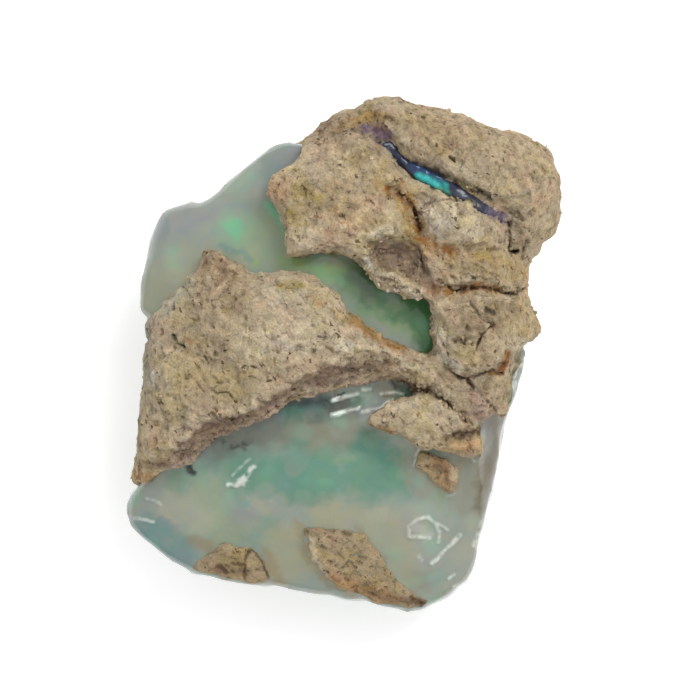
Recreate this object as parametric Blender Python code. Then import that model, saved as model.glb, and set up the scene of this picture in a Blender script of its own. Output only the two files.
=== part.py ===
"""Rough opal in its host rock, lying on its back with the best face up.

A glassy mass of pale opal fills one side of a lump of sandy volcanic rock. The rock still
covers the crown and the middle of the face as a thick crust with broken ledges, and a few
scraps of it are left on the opal. A thin second seam of opal runs along a crack in the rock.

The frame has +Z up, towards the face. +Y runs along the stone to its crown, and the origin
is in the middle of the stone's outline, at the height of the surface that it lies on.
"""

import math

import bmesh
import bpy
from mathutils import Vector, geometry, noise

# Driving dimensions. Every outline and height below is written for a stone of the length
# DRAWN_LENGTH, in millimetres, and grows or shrinks with STONE_LENGTH.
STONE_LENGTH = 0.0364
DRAWN_LENGTH = 36.4
MM = STONE_LENGTH / DRAWN_LENGTH

GAP = 0.3 * MM  # between any two pieces
GRID = 0.45 * MM  # spacing of the points inside a face
VOXEL = 0.32 * MM  # finest form that a large piece keeps
ROCK_VOXEL = 0.29 * MM  # the same once the rock's skin has been roughened
FINE_VOXEL = 0.20 * MM  # finest form that a small piece keeps
SPECK = 0.004 * MM  # anything smaller is taken off a finished piece

OPAL_TRIANGLES = 2500
ROCK_TRIANGLES = 5000
SEAM_TRIANGLES = 300
SCRAP_TRIANGLES = 320
POCKET_TRIANGLES = 300

# Heights above the resting surface.
OPAL_TOP = 12.1
ROCK_TOP = 14.3
RUBBLE_TOP = 12.7
RUBBLE_FOOT = 7.0
FOOTING_TOP = 9.0
BLANK_FOOT = -1.0  # blanks reach below the resting face, which is then broken off flat
FLANK_FOOT = 4.6  # how far down the crust on the left flank reaches
FLANK_FOOT_WANDER = 1.6  # how much that foot goes up and down

# How far things lie above or below the surface that they belong to.
SCRAP_RISE = 0.4  # the scraps of crust stand out of the opal
INCLUSION_DEPTH = 1.6
CRUST_DEPTH = 1.3
SEAM_DEPTH = 0.6  # top of the seam, below the skin of the rock
SEAM_HEIGHT = 2.3

# How strongly the two large faces are domed: the fall at one millimetre from the middle.
OPAL_MIDDLE = (-1.0, 1.0)
OPAL_DOME = (0.0100, 0.0135)
ROCK_MIDDLE = (1.5, 3.0)
ROCK_DOME = (0.0095, 0.0040)

# Rounded rims: how far in from the outline the rounding starts, and its drop.
CROWN_ROUNDING = (2.6, 4.2)
WINDOW_ROUNDING = (0.8, 0.7)
FLANK_ROUNDING = (1.8, 2.6)
THIN_ROUNDING = (2.6, 1.6)
RUBBLE_ROUNDING = (2.2, 2.2)

# The ledge drops at once below its crest and then slopes away.
LEDGE_STEP = 0.75
LEDGE_SLOPE = 0.55

# Rough skins: size and depth of the lumps.
OPAL_WAVES = (5.0, 0.30)
ROCK_LUMPS = (2.4, 0.26)
ROCK_GRIT = (0.9, 0.12)
SCRAP_LUMPS = (1.3, 0.16)


# --- outlines, seen from above, in millimetres ------------------------------------------

# The opal, whose far side runs under the rock in two straight breaks.
OPAL_OUTLINE = (
    (-13.0, 10.0), (-11.5, 10.45), (-10.9, 10.7), (-10.2, 10.5), (-9.0, 11.2), (-8.0, 12.1),
    (-6.8, 13.1), (-5.5, 14.2), (-4.3, 14.8), (-2.6, 14.6), (3.0, 10.4), (9.0, 6.5), (12.2, 2.8),
    (13.0, 1.0), (13.1, 0.0), (12.8, -1.2), (12.3, -2.8), (11.6, -4.2), (11.2, -5.2),
    (11.0, -7.0), (10.9, -7.8), (10.5, -9.2), (10.4, -10.5), (10.0, -12.0), (9.5, -13.8),
    (9.2, -15.2), (8.9, -16.4), (7.6, -17.5), (6.0, -18.2), (4.6, -18.2), (2.5, -17.9),
    (0.0, -17.8), (-1.5, -17.2), (-3.0, -17.0), (-5.0, -16.5), (-6.5, -16.3), (-8.5, -16.0),
    (-10.8, -15.5), (-12.0, -14.9), (-13.2, -14.1), (-14.5, -13.2), (-15.2, -12.2),
    (-15.5, -11.4), (-15.2, -10.2), (-14.3, -9.2), (-13.9, -7.5), (-13.7, -4.0), (-13.3, -1.0),
    (-13.3, 1.0), (-13.8, 2.4), (-14.5, 3.0), (-14.3, 5.0), (-14.0, 6.0), (-13.7, 8.0),
)

# The crown and shoulder of the rock, down to the window of green opal and the round knobs.
CROWN_OUTLINE = (
    (-3.0, 15.0), (-2.0, 15.6), (-1.2, 16.2), (-0.6, 16.8), (0.8, 17.1), (1.6, 17.6),
    (2.6, 18.2), (3.8, 18.0), (5.0, 17.6), (7.0, 17.1), (8.8, 16.7), (10.0, 16.0),
    (12.4, 15.6), (13.6, 14.8), (14.6, 14.2), (15.1, 13.2), (15.4, 12.2), (15.4, 10.0),
    (15.2, 8.9), (14.3, 7.9), (13.5, 7.2), (13.0, 6.2), (12.95, 5.0), (13.1, 3.5),
    (13.4, 2.5), (13.8, 1.6), (13.5, 1.0), (12.5, 0.8), (11.9, 0.0), (11.6, -1.0),
    (10.8, -1.5), (10.0, -1.4), (9.0, -1.8), (8.0, -1.8), (7.2, -1.4), (6.7, -0.8),
    (6.4, 0.0), (6.3, 1.0), (6.35, 2.0), (6.2, 2.8), (6.0, 3.4), (5.6, 4.0), (5.2, 4.3),
    (5.0, 3.5), (4.6, 3.9), (4.3, 4.3), (3.7, 4.3), (3.0, 4.2), (2.4, 4.6), (1.9, 5.2),
    (1.2, 5.9), (0.8, 6.3), (0.0, 6.8), (-0.9, 7.1), (-2.3, 6.9), (-3.5, 6.7), (-4.4, 6.5),
    (-4.2, 7.2), (-4.0, 8.0), (-4.2, 8.6), (-4.5, 9.8), (-5.0, 10.7), (-5.6, 11.0),
    (-5.5, 11.6), (-5.3, 12.3), (-5.0, 12.6), (-3.6, 13.0), (-3.0, 13.7), (-3.1, 14.4),
)

# The plate of crust across the middle, whose lower side is the top of the broken ledge.
PLATE_OUTLINE = (
    (-14.1, 2.2), (-12.9, 2.9), (-12.2, 4.0), (-11.2, 5.2), (-10.1, 6.0), (-9.95, 7.1),
    (-9.4, 7.7), (-8.7, 7.3), (-8.3, 6.7), (-7.7, 6.4), (-6.9, 6.0), (-6.2, 5.6), (-5.4, 5.5),
    (-4.6, 5.7), (-3.4, 5.7), (-2.2, 5.3), (-1.3, 4.7), (-0.5, 4.3), (-0.1, 3.7), (0.3, 3.0),
    (1.0, 2.5), (1.5, 1.9), (2.2, 1.4), (3.0, 1.0), (3.8, 0.7), (4.6, 0.3), (5.5, -0.1),
    (6.4, -0.7), (7.4, -1.2), (6.4, -1.9), (5.6, -1.5), (5.0, -1.1), (4.0, -0.8),
    (3.1, -0.5), (2.5, -0.1), (1.8, 0.1), (0.8, 0.0), (-0.2, -0.4), (-1.0, -0.8),
    (-2.3, -1.2), (-3.2, -1.8), (-4.0, -2.4), (-4.8, -2.9), (-5.5, -3.5), (-6.5, -4.0),
    (-7.2, -4.5), (-8.5, -4.6), (-9.8, -4.8), (-10.2, -5.2), (-10.8, -6.0), (-11.5, -6.8),
    (-12.2, -7.5), (-13.0, -7.9), (-14.2, -7.9), (-14.95, -7.9), (-14.75, -6.5),
    (-14.6, -5.5), (-14.5, -4.0), (-14.2, -2.0), (-14.1, 0.0),
)

# The ledge under the plate's broken edge, which steps down to the lower face of the opal.
LEDGE_OUTLINE = (
    (-14.6, -6.0), (-14.9, -7.5), (-15.1, -8.5), (-15.2, -9.9), (-14.0, -9.9), (-13.5, -9.4),
    (-13.0, -8.7), (-12.3, -8.4), (-11.4, -8.0), (-10.5, -7.6), (-9.8, -7.1), (-9.2, -6.6),
    (-8.6, -6.2), (-7.6, -5.7), (-6.8, -5.2), (-6.0, -4.7), (-5.0, -4.2), (-4.2, -3.8),
    (-3.0, -3.4), (-1.8, -3.2), (-1.0, -3.1), (-0.3, -2.8), (0.6, -2.6), (1.5, -2.5),
    (2.5, -2.3), (3.5, -2.1), (4.8, -2.1), (5.4, -2.6), (6.2, -3.0), (8.0, -2.5), (7.0, -0.6),
    (4.0, 0.4), (0.0, 1.5), (-4.0, -1.0), (-9.0, -3.0), (-12.0, -6.0),
)

# The line where the plate's top breaks off towards the ledge.
LEDGE_CREST = (
    (-15.0, -7.6), (-12.0, -7.3), (-10.8, -6.0), (-9.8, -4.8), (-7.2, -4.5), (-5.5, -3.5),
    (-3.2, -1.8), (-1.0, -0.8), (1.8, 0.1), (3.1, -0.5), (5.0, -1.1), (7.0, -1.9),
)

# The rubble below the knobs, with a wedge of crust that points left over the opal.
RUBBLE_OUTLINE = (
    (5.4, -1.6), (8.0, -1.2), (11.3, -0.6), (11.7, -1.5), (11.6, -2.6), (11.75, -3.4),
    (11.5, -4.3), (11.2, -4.9), (10.9, -4.6), (10.4, -4.4), (9.9, -4.8), (9.5, -5.2),
    (9.9, -5.6), (9.9, -6.2), (9.7, -7.0), (9.2, -7.3), (8.2, -7.1), (7.4, -7.1),
    (6.6, -6.9), (5.6, -6.8), (5.0, -6.4), (4.2, -6.0), (3.4, -5.7), (2.4, -5.5),
    (1.4, -5.0), (1.0, -4.6), (1.8, -4.5), (2.4, -4.2), (3.2, -3.6), (4.0, -3.4),
    (5.0, -3.2), (6.2, -3.1), (5.6, -2.5),
)

# Rock behind the opal, on the underside of the stone.
FOOTING_OUTLINE = (
    (-5.8, 13.6), (-3.2, 14.9), (1.0, 16.9), (6.0, 17.0), (11.5, 15.4), (14.6, 12.5),
    (14.6, 9.6), (12.9, 6.6), (12.9, 2.4), (12.2, -1.8), (10.7, -6.5), (4.0, -4.0),
    (-1.5, 1.5), (-8.0, 5.0), (-10.5, 9.2), (-8.2, 11.4),
)

# The vein of opal in the crack of the crown.
SEAM_OUTLINE = (
    (1.5, 15.9), (2.5, 15.6), (3.3, 15.0), (3.9, 14.1), (4.4, 13.4), (5.2, 13.0),
    (6.2, 12.5), (7.0, 12.0), (7.8, 11.6), (8.6, 11.1), (9.5, 10.5), (10.3, 10.1),
    (11.2, 9.5), (11.0, 8.9), (10.1, 9.3), (9.2, 9.8), (8.4, 10.3), (7.5, 10.7),
    (6.6, 11.2), (5.8, 11.5), (5.0, 12.0), (4.1, 12.7), (3.2, 13.6), (2.3, 14.5), (1.3, 15.2),
)

INCLUSION_OUTLINE = (
    (5.1, -7.1), (5.0, -8.0), (5.8, -8.6), (6.3, -9.2), (6.8, -9.7), (7.6, -9.9),
    (7.9, -9.2), (7.9, -8.2), (7.4, -7.75), (6.6, -7.45), (5.8, -7.2),
)

BOTTOM_CRUST_OUTLINE = (
    (-2.8, -12.6), (-1.0, -12.5), (0.3, -12.6), (1.2, -12.9), (1.9, -13.6), (2.5, -14.4),
    (3.0, -15.3), (3.4, -16.0), (4.2, -16.8), (5.0, -17.4), (6.0, -17.8), (5.6, -18.2),
    (4.6, -18.2), (3.5, -18.0), (2.3, -17.7), (1.0, -17.1), (0.0, -16.9), (-0.8, -16.5),
    (-1.5, -15.9), (-1.6, -15.3), (-2.2, -14.6), (-2.4, -13.8), (-2.5, -13.2),
)

CORNER_CRUST_OUTLINE = (
    (-10.9, -15.45), (-10.3, -14.8), (-9.5, -14.5), (-9.0, -13.8), (-8.5, -13.6),
    (-7.6, -13.9), (-6.7, -13.9), (-6.2, -14.3), (-5.8, -15.0), (-5.5, -15.7), (-5.1, -16.4),
    (-6.5, -16.3), (-8.5, -16.0),
)

# Free rims of the rock, the rim of the window, and the rim of the plate that thins out.
CROWN_RIM = CROWN_OUTLINE[:27]
WINDOW_RIM = CROWN_OUTLINE[26:]
THIN_RIM = PLATE_OUTLINE[:31]
LEFT_RIM = (
    (-14.1, 2.6), (-14.1, 0.0), (-14.2, -2.0), (-14.5, -4.0), (-14.9, -7.5), (-15.3, -10.4),
)
RIGHT_RIM = (
    (11.6, 0.0), (11.7, -2.0), (11.75, -3.4), (11.0, -5.0), (9.9, -6.2), (9.7, -7.3),
)

# --- relief ---------------------------------------------------------------------------

# Swellings and hollows of the rock: centre x, y, radius and height, in millimetres.
ROCK_SWELLINGS = (
    (9.8, 12.8, 6.0, 1.8),  # crown
    (0.6, 11.2, 4.6, 0.7),  # shoulder
    (8.0, 8.9, 3.0, 1.2),  # upper knob
    (9.4, 5.8, 2.6, 0.8),  # middle knob
    (9.1, 1.4, 3.4, 1.6),  # lower knob
    (-4.5, 1.6, 5.5, 0.4),  # middle of the plate
    (-11.8, -3.0, 3.6, 0.5),
    (3.4, 6.4, 2.3, -1.8),  # broken hollow above the green window
    (1.6, 15.9, 1.7, -0.9),  # where the seam comes out at the top
    (-2.9, 9.4, 1.8, -0.5),
    (-7.6, -1.2, 1.8, -0.4),
    (11.8, 7.3, 0.9, -1.0),  # pit at the end of the upright crack
    (7.5, 13.4, 0.7, -0.6),
    (-11.7, 0.7, 0.8, -0.6),
    (-11.2, -4.7, 0.7, -0.5),
    (8.3, 0.7, 0.7, -0.5),
    (10.1, 3.0, 0.8, -0.5),
    (5.7, 10.2, 0.6, -0.5),
)

# Grooves of the rock: half width, depth, and the line that each follows.
ROCK_GROOVES = (
    (0.85, 1.3, ((1.8, 15.5), (2.9, 14.9), (3.6, 13.9), (4.7, 12.8), (6.1, 12.1), (7.4, 11.4),
                 (9.0, 10.4), (10.4, 9.7), (11.3, 9.2))),  # crack that holds the seam
    (0.65, 1.5, ((4.0, 10.9), (4.6, 10.4), (4.9, 9.8), (5.1, 9.0), (5.4, 8.2), (6.0, 7.5))),
    (0.55, 1.0, ((6.0, 7.5), (7.4, 7.0), (9.6, 7.0), (11.6, 7.0))),
    (0.65, 1.5, ((7.2, 4.6), (7.8, 4.2), (8.6, 4.45), (9.6, 4.5), (10.6, 4.3), (11.6, 4.0),
                 (12.4, 4.3))),
    (0.60, 1.4, ((11.4, 9.0), (11.5, 8.0), (11.6, 7.2), (12.4, 6.8))),
    (0.60, 1.3, ((7.6, -1.5), (8.6, -1.9), (9.2, -2.4), (9.6, -1.7), (10.8, -1.4))),
    (0.50, 0.9, ((10.3, 2.0), (9.6, 1.3), (9.1, 0.2))),
    (0.50, 0.8, ((8.6, 3.5), (9.3, 2.7), (10.2, 2.9))),
)

RUBBLE_SWELLINGS = (
    (4.8, -4.7, 3.4, 0.6),  # wedge
    (9.2, -3.6, 1.6, 0.6),
    (7.4, -2.2, 1.6, 0.4),
    (8.3, -6.6, 1.2, -0.5),
)

# Grooves of the rubble, which part the wedge from the rest.
RUBBLE_GROOVES = (
    (0.45, 0.9, ((5.6, -2.8), (6.4, -3.0), (7.2, -3.6), (8.0, -4.2), (8.6, -4.9), (9.4, -5.2))),
    (0.40, 0.7, ((6.4, -6.4), (7.6, -6.0), (8.8, -5.7), (9.8, -5.9))),
    (0.45, 0.8, ((9.6, -1.8), (9.9, -2.6), (10.3, -3.4), (10.8, -4.4))),
)

# Flat breaks that shape the underside: a point on each and the way that it faces.
UNDERSIDE_BREAKS = (
    ((-2.0, -17.3, 5.0), (-0.08, -0.72, -0.69)),
    ((9.2, -16.6, 4.6), (0.62, -0.45, -0.64)),
    ((11.9, -6.0, 5.6), (0.80, -0.12, -0.58)),
    ((15.5, 11.0, 7.4), (0.78, 0.10, -0.62)),
    ((9.0, 17.2, 7.6), (0.22, 0.70, -0.68)),
    ((-6.6, 13.9, 6.6), (-0.50, 0.58, -0.64)),
    ((-14.6, 3.6, 6.2), (-0.76, 0.12, -0.64)),
    ((-14.6, -13.6, 5.2), (-0.52, -0.48, -0.70)),
)

# The flat face that the stone lies on.
RESTING_FACE = (((0.0, 0.0, 0.0), (0.0, 0.0, -1.0)),)

# Flat breaks along the edges of the opal's face.
OPAL_BREAKS = (
    ((-7.1, 11.7, 10.5), (-0.42, 0.52, 0.74)),  # along the upper left edge
    ((-12.6, 8.2, 9.6), (-0.66, 0.20, 0.72)),  # left edge of the upper pane
    ((-13.6, -11.2, 8.9), (-0.60, -0.02, 0.80)),  # left corner
    ((-12.0, -13.6, 8.6), (-0.45, -0.55, 0.70)),
    ((-3.0, -15.8, 8.7), (-0.12, -0.66, 0.74)),  # lower edge
    ((4.0, -16.6, 8.4), (0.10, -0.62, 0.78)),
    ((7.9, -15.9, 8.2), (0.48, -0.42, 0.77)),  # lower right corner
    ((9.5, -10.5, 9.3), (0.84, -0.14, 0.52)),  # right edge
    ((11.9, -2.0, 10.6), (0.78, -0.16, 0.60)),
)

# The opal thins out under the rock: its underside climbs from here towards the crown.
OPAL_UNDERSIDE = ((0.0, -1.0, 0.0), (0.36, 0.48, -0.80))

# Shallow shell-shaped flakes out of the opal: centre, radius and depth.
OPAL_FLAKES = (
    ((7.6, -13.6), 5.0, 0.45),
    ((-11.6, 7.6), 6.5, 0.35),
    ((0.9, -3.6), 2.6, 0.75),
    ((-13.4, -12.4), 3.6, 0.30),
    ((-7.2, 9.2), 5.0, 0.25),
)


# --- tools ------------------------------------------------------------------------------


def distance_to_line(x, y, line):
    """Distance in plan from a point to a line of straight stretches."""
    nearest = math.inf
    for (ax, ay), (bx, by) in zip(line, line[1:]):
        along_x, along_y = bx - ax, by - ay
        share = ((x - ax) * along_x + (y - ay) * along_y) / (along_x**2 + along_y**2)
        share = max(0.0, min(1.0, share))
        nearest = min(nearest, math.hypot(x - ax - share * along_x, y - ay - share * along_y))
    return nearest


def rim_rounding(x, y, rim, rounding):
    """How far a face falls near its rim, as a quarter of an ellipse."""
    width, drop = rounding
    share = min(1.0, distance_to_line(x, y, rim) / width)
    return drop * (1.0 - math.sqrt(1.0 - (1.0 - share) ** 2))


def swelling(x, y, swellings):
    """Height that round swellings and hollows add."""
    total = 0.0
    for centre_x, centre_y, radius, height in swellings:
        share = math.hypot(x - centre_x, y - centre_y) / radius
        if share < 1.0:
            total += height * (1.0 - share**2) ** 2
    return total


def groove(x, y, grooves):
    """Height that V-shaped grooves take away."""
    deepest = 0.0
    for half_width, depth, line in grooves:
        deepest = max(deepest, depth * (1.0 - distance_to_line(x, y, line) / half_width))
    return deepest


def flake(x, y, flakes):
    """Depth of the shell-shaped flakes at a point of the opal's face."""
    deepest = 0.0
    for (centre_x, centre_y), radius, depth in flakes:
        share = math.hypot(x - centre_x, y - centre_y) / radius
        deepest = max(deepest, depth * (1.0 - share**2))
    return deepest


def dome(x, y, top, middle, fall):
    """Height of a gently domed face."""
    return top - fall[0] * (x - middle[0]) ** 2 - fall[1] * (y - middle[1]) ** 2


def opal_face(x, y):
    return dome(x, y, OPAL_TOP, OPAL_MIDDLE, OPAL_DOME) - flake(x, y, OPAL_FLAKES)


def rock_level(x, y):
    return dome(x, y, ROCK_TOP, ROCK_MIDDLE, ROCK_DOME)


def rock_relief(x, y):
    return rock_level(x, y) + swelling(x, y, ROCK_SWELLINGS) - groove(x, y, ROCK_GROOVES)


def crown_face(x, y):
    free_rim = rim_rounding(x, y, CROWN_RIM, CROWN_ROUNDING)
    window_rim = rim_rounding(x, y, WINDOW_RIM, WINDOW_ROUNDING)
    return rock_relief(x, y) - max(free_rim, window_rim)


def plate_face(x, y):
    free_rim = rim_rounding(x, y, LEFT_RIM, FLANK_ROUNDING)
    thin_rim = rim_rounding(x, y, THIN_RIM, THIN_ROUNDING)
    return rock_relief(x, y) - max(free_rim, thin_rim)


def ledge_face(x, y):
    fall = LEDGE_STEP + LEDGE_SLOPE * distance_to_line(x, y, LEDGE_CREST)
    return rock_level(x, y) - fall - rim_rounding(x, y, LEFT_RIM, FLANK_ROUNDING)


def rubble_face(x, y):
    level = RUBBLE_TOP + swelling(x, y, RUBBLE_SWELLINGS) - groove(x, y, RUBBLE_GROOVES)
    return level - rim_rounding(x, y, RIGHT_RIM, RUBBLE_ROUNDING)


def seam_face(x, y):
    return rock_level(x, y) + swelling(x, y, ROCK_SWELLINGS) - SEAM_DEPTH


def seam_foot(x, y):
    return seam_face(x, y) - SEAM_HEIGHT


def scrap_face(x, y):
    return opal_face(x, y) + SCRAP_RISE


def flank_foot(x, y):
    return FLANK_FOOT + FLANK_FOOT_WANDER * noise.noise(Vector((x, y, 0.0)) * 0.3)


def blank_foot(x, y):
    return BLANK_FOOT


def rubble_foot(x, y):
    return RUBBLE_FOOT


def footing_top(x, y):
    return FOOTING_TOP


def inside(x, y, outline):
    """Whether a point lies within a closed outline."""
    odd = False
    for (ax, ay), (bx, by) in zip(outline, outline[1:] + outline[:1]):
        if (ay > y) != (by > y) and x < ax + (y - ay) / (by - ay) * (bx - ax):
            odd = not odd
    return odd


def add_object(name, bm):
    mesh = bpy.data.meshes.new(name)
    bm.to_mesh(mesh)
    bm.free()
    made = bpy.data.objects.new(name, mesh)
    bpy.context.scene.collection.objects.link(made)
    return made


def block(name, outline, face, foot):
    """A closed solid over an outline, between the heights that face and foot give."""
    corners = [Vector(p) for p in outline]
    step = GRID / MM
    points = list(corners)
    row = 0
    y = min(p.y for p in corners)
    while y < max(p.y for p in corners):
        x = min(p.x for p in corners) + (row % 2) * step / 2
        while x < max(p.x for p in corners):
            close = distance_to_line(x, y, outline + outline[:1]) < step / 3
            if not close and inside(x, y, outline):
                points.append(Vector((x, y)))
            x += step
        row += 1
        y += step * math.sqrt(3) / 2
    sides = [(i, (i + 1) % len(corners)) for i in range(len(corners))]
    flat, _, triangles, *_ = geometry.delaunay_2d_cdt(points, sides, [], 1, 1e-5)
    bm = bmesh.new()
    upper = [bm.verts.new(Vector((p.x, p.y, face(p.x, p.y))) * MM) for p in flat]
    lower = [bm.verts.new(Vector((p.x, p.y, foot(p.x, p.y))) * MM) for p in flat]
    for triangle in triangles:
        bm.faces.new([upper[i] for i in triangle])
        bm.faces.new([lower[i] for i in reversed(triangle)])
    open_edges = [e for e in bm.edges if len(e.link_faces) == 1]
    bmesh.ops.bridge_loops(bm, edges=open_edges)
    bmesh.ops.recalc_face_normals(bm, faces=bm.faces)
    return add_object(name, bm)


def break_off(piece, breaks):
    """Cuts a piece flat along each plane and caps the cut."""
    bm = bmesh.new()
    bm.from_mesh(piece.data)
    for point, facing in breaks:
        whole = bm.verts[:] + bm.edges[:] + bm.faces[:]
        place = Vector(point) * MM
        bmesh.ops.bisect_plane(bm, geom=whole, plane_co=place, plane_no=facing, clear_outer=True)
        open_edges = [e for e in bm.edges if e.is_boundary]
        bmesh.ops.holes_fill(bm, edges=open_edges, sides=0)
    bmesh.ops.triangulate(bm, faces=[f for f in bm.faces if len(f.verts) > 4])
    bm.to_mesh(piece.data)
    bm.free()


def apply_modifiers(piece):
    graph = bpy.context.evaluated_depsgraph_get()
    made = bpy.data.meshes.new_from_object(piece.evaluated_get(graph))
    piece.modifiers.clear()
    old = piece.data
    piece.data = made
    bpy.data.meshes.remove(old)


def fuse(name, pieces, voxel):
    """Makes one closed skin round pieces that overlap."""
    bm = bmesh.new()
    for piece in pieces:
        bm.from_mesh(piece.data)
        bpy.data.objects.remove(piece)
    whole = add_object(name, bm)
    reskin(whole, voxel)
    return whole


def reskin(piece, voxel):
    skin = piece.modifiers.new("Skin", "REMESH")
    skin.mode = "VOXEL"
    skin.voxel_size = voxel
    apply_modifiers(piece)


def soften(piece, factor, repeats):
    smooth = piece.modifiers.new("Soften", "SMOOTH")
    smooth.factor = factor
    smooth.iterations = repeats
    apply_modifiers(piece)


def roughen(piece, lumps, seed):
    """Pushes the surface in and out by a noise with lumps of that size and depth."""
    grain, depth = (value * MM for value in lumps)
    start = Vector((seed, seed * 1.7, seed * 0.6))
    moved = []
    for vertex in piece.data.vertices:
        push = noise.fractal(vertex.co / grain + start, 1.0, 2.0, 3)
        moved.append(vertex.co + vertex.normal * push * depth)
    for vertex, place in zip(piece.data.vertices, moved):
        vertex.co = place


def thin_out(piece, triangles):
    """Leaves about that many triangles, most of them where the surface bends."""
    have = sum(len(p.vertices) - 2 for p in piece.data.polygons)
    decimate = piece.modifiers.new("Thin", "DECIMATE")
    decimate.ratio = min(1.0, triangles / have)
    apply_modifiers(piece)


def swollen(piece, voxel, triangles=None):
    """A hidden copy of a piece, larger all round by the gap, to cut its bed with."""
    bed = bpy.data.objects.new(piece.name + "_bed", piece.data.copy())
    bpy.context.scene.collection.objects.link(bed)
    bed.hide_render = True
    bed.display_type = "WIRE"
    grow = bed.modifiers.new("Grow", "DISPLACE")
    grow.mid_level = 0.0
    grow.strength = GAP
    skin = bed.modifiers.new("Skin", "REMESH")
    skin.mode = "VOXEL"
    skin.voxel_size = voxel
    apply_modifiers(bed)
    if triangles:
        thin_out(bed, triangles)
    return bed


def cut_away(piece, cutter):
    boolean = piece.modifiers.new("Cut", "BOOLEAN")
    boolean.operation = "DIFFERENCE"
    boolean.object = cutter
    apply_modifiers(piece)


def keep_largest(piece):
    """Drops the crumbs that a cut leaves."""
    bm = bmesh.new()
    bm.from_mesh(piece.data)
    unseen = set(bm.verts)
    lumps = []
    while unseen:
        front = [unseen.pop()]
        lump = list(front)
        while front:
            near = [e.other_vert(v) for v in front for e in v.link_edges]
            front = list({v for v in near if v in unseen})
            unseen.difference_update(front)
            lump += front
        lumps.append(lump)
    lumps.sort(key=len)
    bmesh.ops.delete(bm, geom=[v for lump in lumps[:-1] for v in lump], context="VERTS")
    bm.to_mesh(piece.data)
    bm.free()


def finish(piece, colour, roughness):
    """Gives a piece its material and takes away stray pieces of surface under a hair across."""
    bm = bmesh.new()
    bm.from_mesh(piece.data)
    bmesh.ops.remove_doubles(bm, verts=bm.verts, dist=SPECK)
    bmesh.ops.dissolve_degenerate(bm, edges=bm.edges, dist=SPECK)
    bmesh.ops.triangulate(bm, faces=bm.faces)
    bm.to_mesh(piece.data)
    bm.free()
    made = bpy.data.materials.new(piece.name)
    made.use_nodes = True
    shader = made.node_tree.nodes["Principled BSDF"]
    shader.inputs["Base Color"].default_value = (*colour, 1.0)
    shader.inputs["Roughness"].default_value = roughness
    shader.inputs["Metallic"].default_value = 0.0
    piece.data.materials.clear()
    piece.data.materials.append(made)


# --- the pieces -------------------------------------------------------------------------


def make_opal():
    body = block("opal_body", OPAL_OUTLINE, opal_face, blank_foot)
    break_off(body, UNDERSIDE_BREAKS + OPAL_BREAKS + (OPAL_UNDERSIDE,))
    body = fuse("opal_body", [body], VOXEL)
    soften(body, 0.5, 3)
    roughen(body, OPAL_WAVES, 3.0)
    thin_out(body, OPAL_TRIANGLES)
    return body


def make_host_rock(cutters):
    crown = block("crown", CROWN_OUTLINE, crown_face, blank_foot)
    plate = block("plate", PLATE_OUTLINE, plate_face, flank_foot)
    ledge = block("ledge", LEDGE_OUTLINE, ledge_face, flank_foot)
    rubble = block("rubble", RUBBLE_OUTLINE, rubble_face, rubble_foot)
    footing = block("footing", FOOTING_OUTLINE, footing_top, blank_foot)
    parts = [crown, plate, ledge, rubble, footing]
    for part in parts:
        break_off(part, UNDERSIDE_BREAKS)
    rock = fuse("host_rock", parts, VOXEL)
    soften(rock, 0.5, 1)
    roughen(rock, ROCK_LUMPS, 11.0)
    roughen(rock, ROCK_GRIT, 5.0)
    reskin(rock, ROCK_VOXEL)
    for cutter in cutters:
        cut_away(rock, cutter)
    keep_largest(rock)
    reskin(rock, ROCK_VOXEL)
    keep_largest(rock)
    thin_out(rock, ROCK_TRIANGLES)
    return rock


def make_seam():
    seam = block("opal_seam", SEAM_OUTLINE, seam_face, seam_foot)
    seam = fuse("opal_seam", [seam], FINE_VOXEL)
    soften(seam, 0.5, 2)
    thin_out(seam, SEAM_TRIANGLES)
    return seam


def make_scrap(name, outline, depth, seed):
    """A scrap of crust that sits in the opal's face and stands a little proud of it."""
    scrap = block(name, outline, scrap_face, lambda x, y: opal_face(x, y) - depth)
    raised = [((x, y, z + SCRAP_RISE), facing) for (x, y, z), facing in OPAL_BREAKS]
    break_off(scrap, UNDERSIDE_BREAKS + tuple(raised))
    scrap = fuse(name, [scrap], FINE_VOXEL)
    soften(scrap, 0.5, 2)
    roughen(scrap, SCRAP_LUMPS, seed)
    thin_out(scrap, SCRAP_TRIANGLES)
    return scrap


def main():
    for old in list(bpy.data.objects):
        bpy.data.objects.remove(old)
    opal = make_opal()
    seam = make_seam()
    rock = make_host_rock([swollen(opal, VOXEL), swollen(seam, FINE_VOXEL)])
    scraps = [
        make_scrap("rock_inclusion", INCLUSION_OUTLINE, INCLUSION_DEPTH, 2.0),
        make_scrap("bottom_crust", BOTTOM_CRUST_OUTLINE, CRUST_DEPTH, 7.0),
        make_scrap("corner_crust", CORNER_CRUST_OUTLINE, CRUST_DEPTH, 13.0),
    ]
    for scrap in scraps:
        cut_away(opal, swollen(scrap, FINE_VOXEL, POCKET_TRIANGLES))
    break_off(opal, RESTING_FACE)
    break_off(rock, RESTING_FACE)
    finish(opal, (0.42, 0.52, 0.48), 0.15)
    finish(seam, (0.05, 0.35, 0.38), 0.15)
    finish(rock, (0.46, 0.36, 0.24), 0.9)
    for scrap in scraps:
        finish(scrap, (0.42, 0.29, 0.18), 0.9)


main()
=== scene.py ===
"""Looks of a rough opal in its host rock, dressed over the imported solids.

All tables below are in millimetres, seen from above: +x to the right, +y to the crown.
"""

import math

import bmesh
import bpy
import numpy as np
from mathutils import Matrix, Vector, noise
from mathutils.bvhtree import BVHTree


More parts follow.
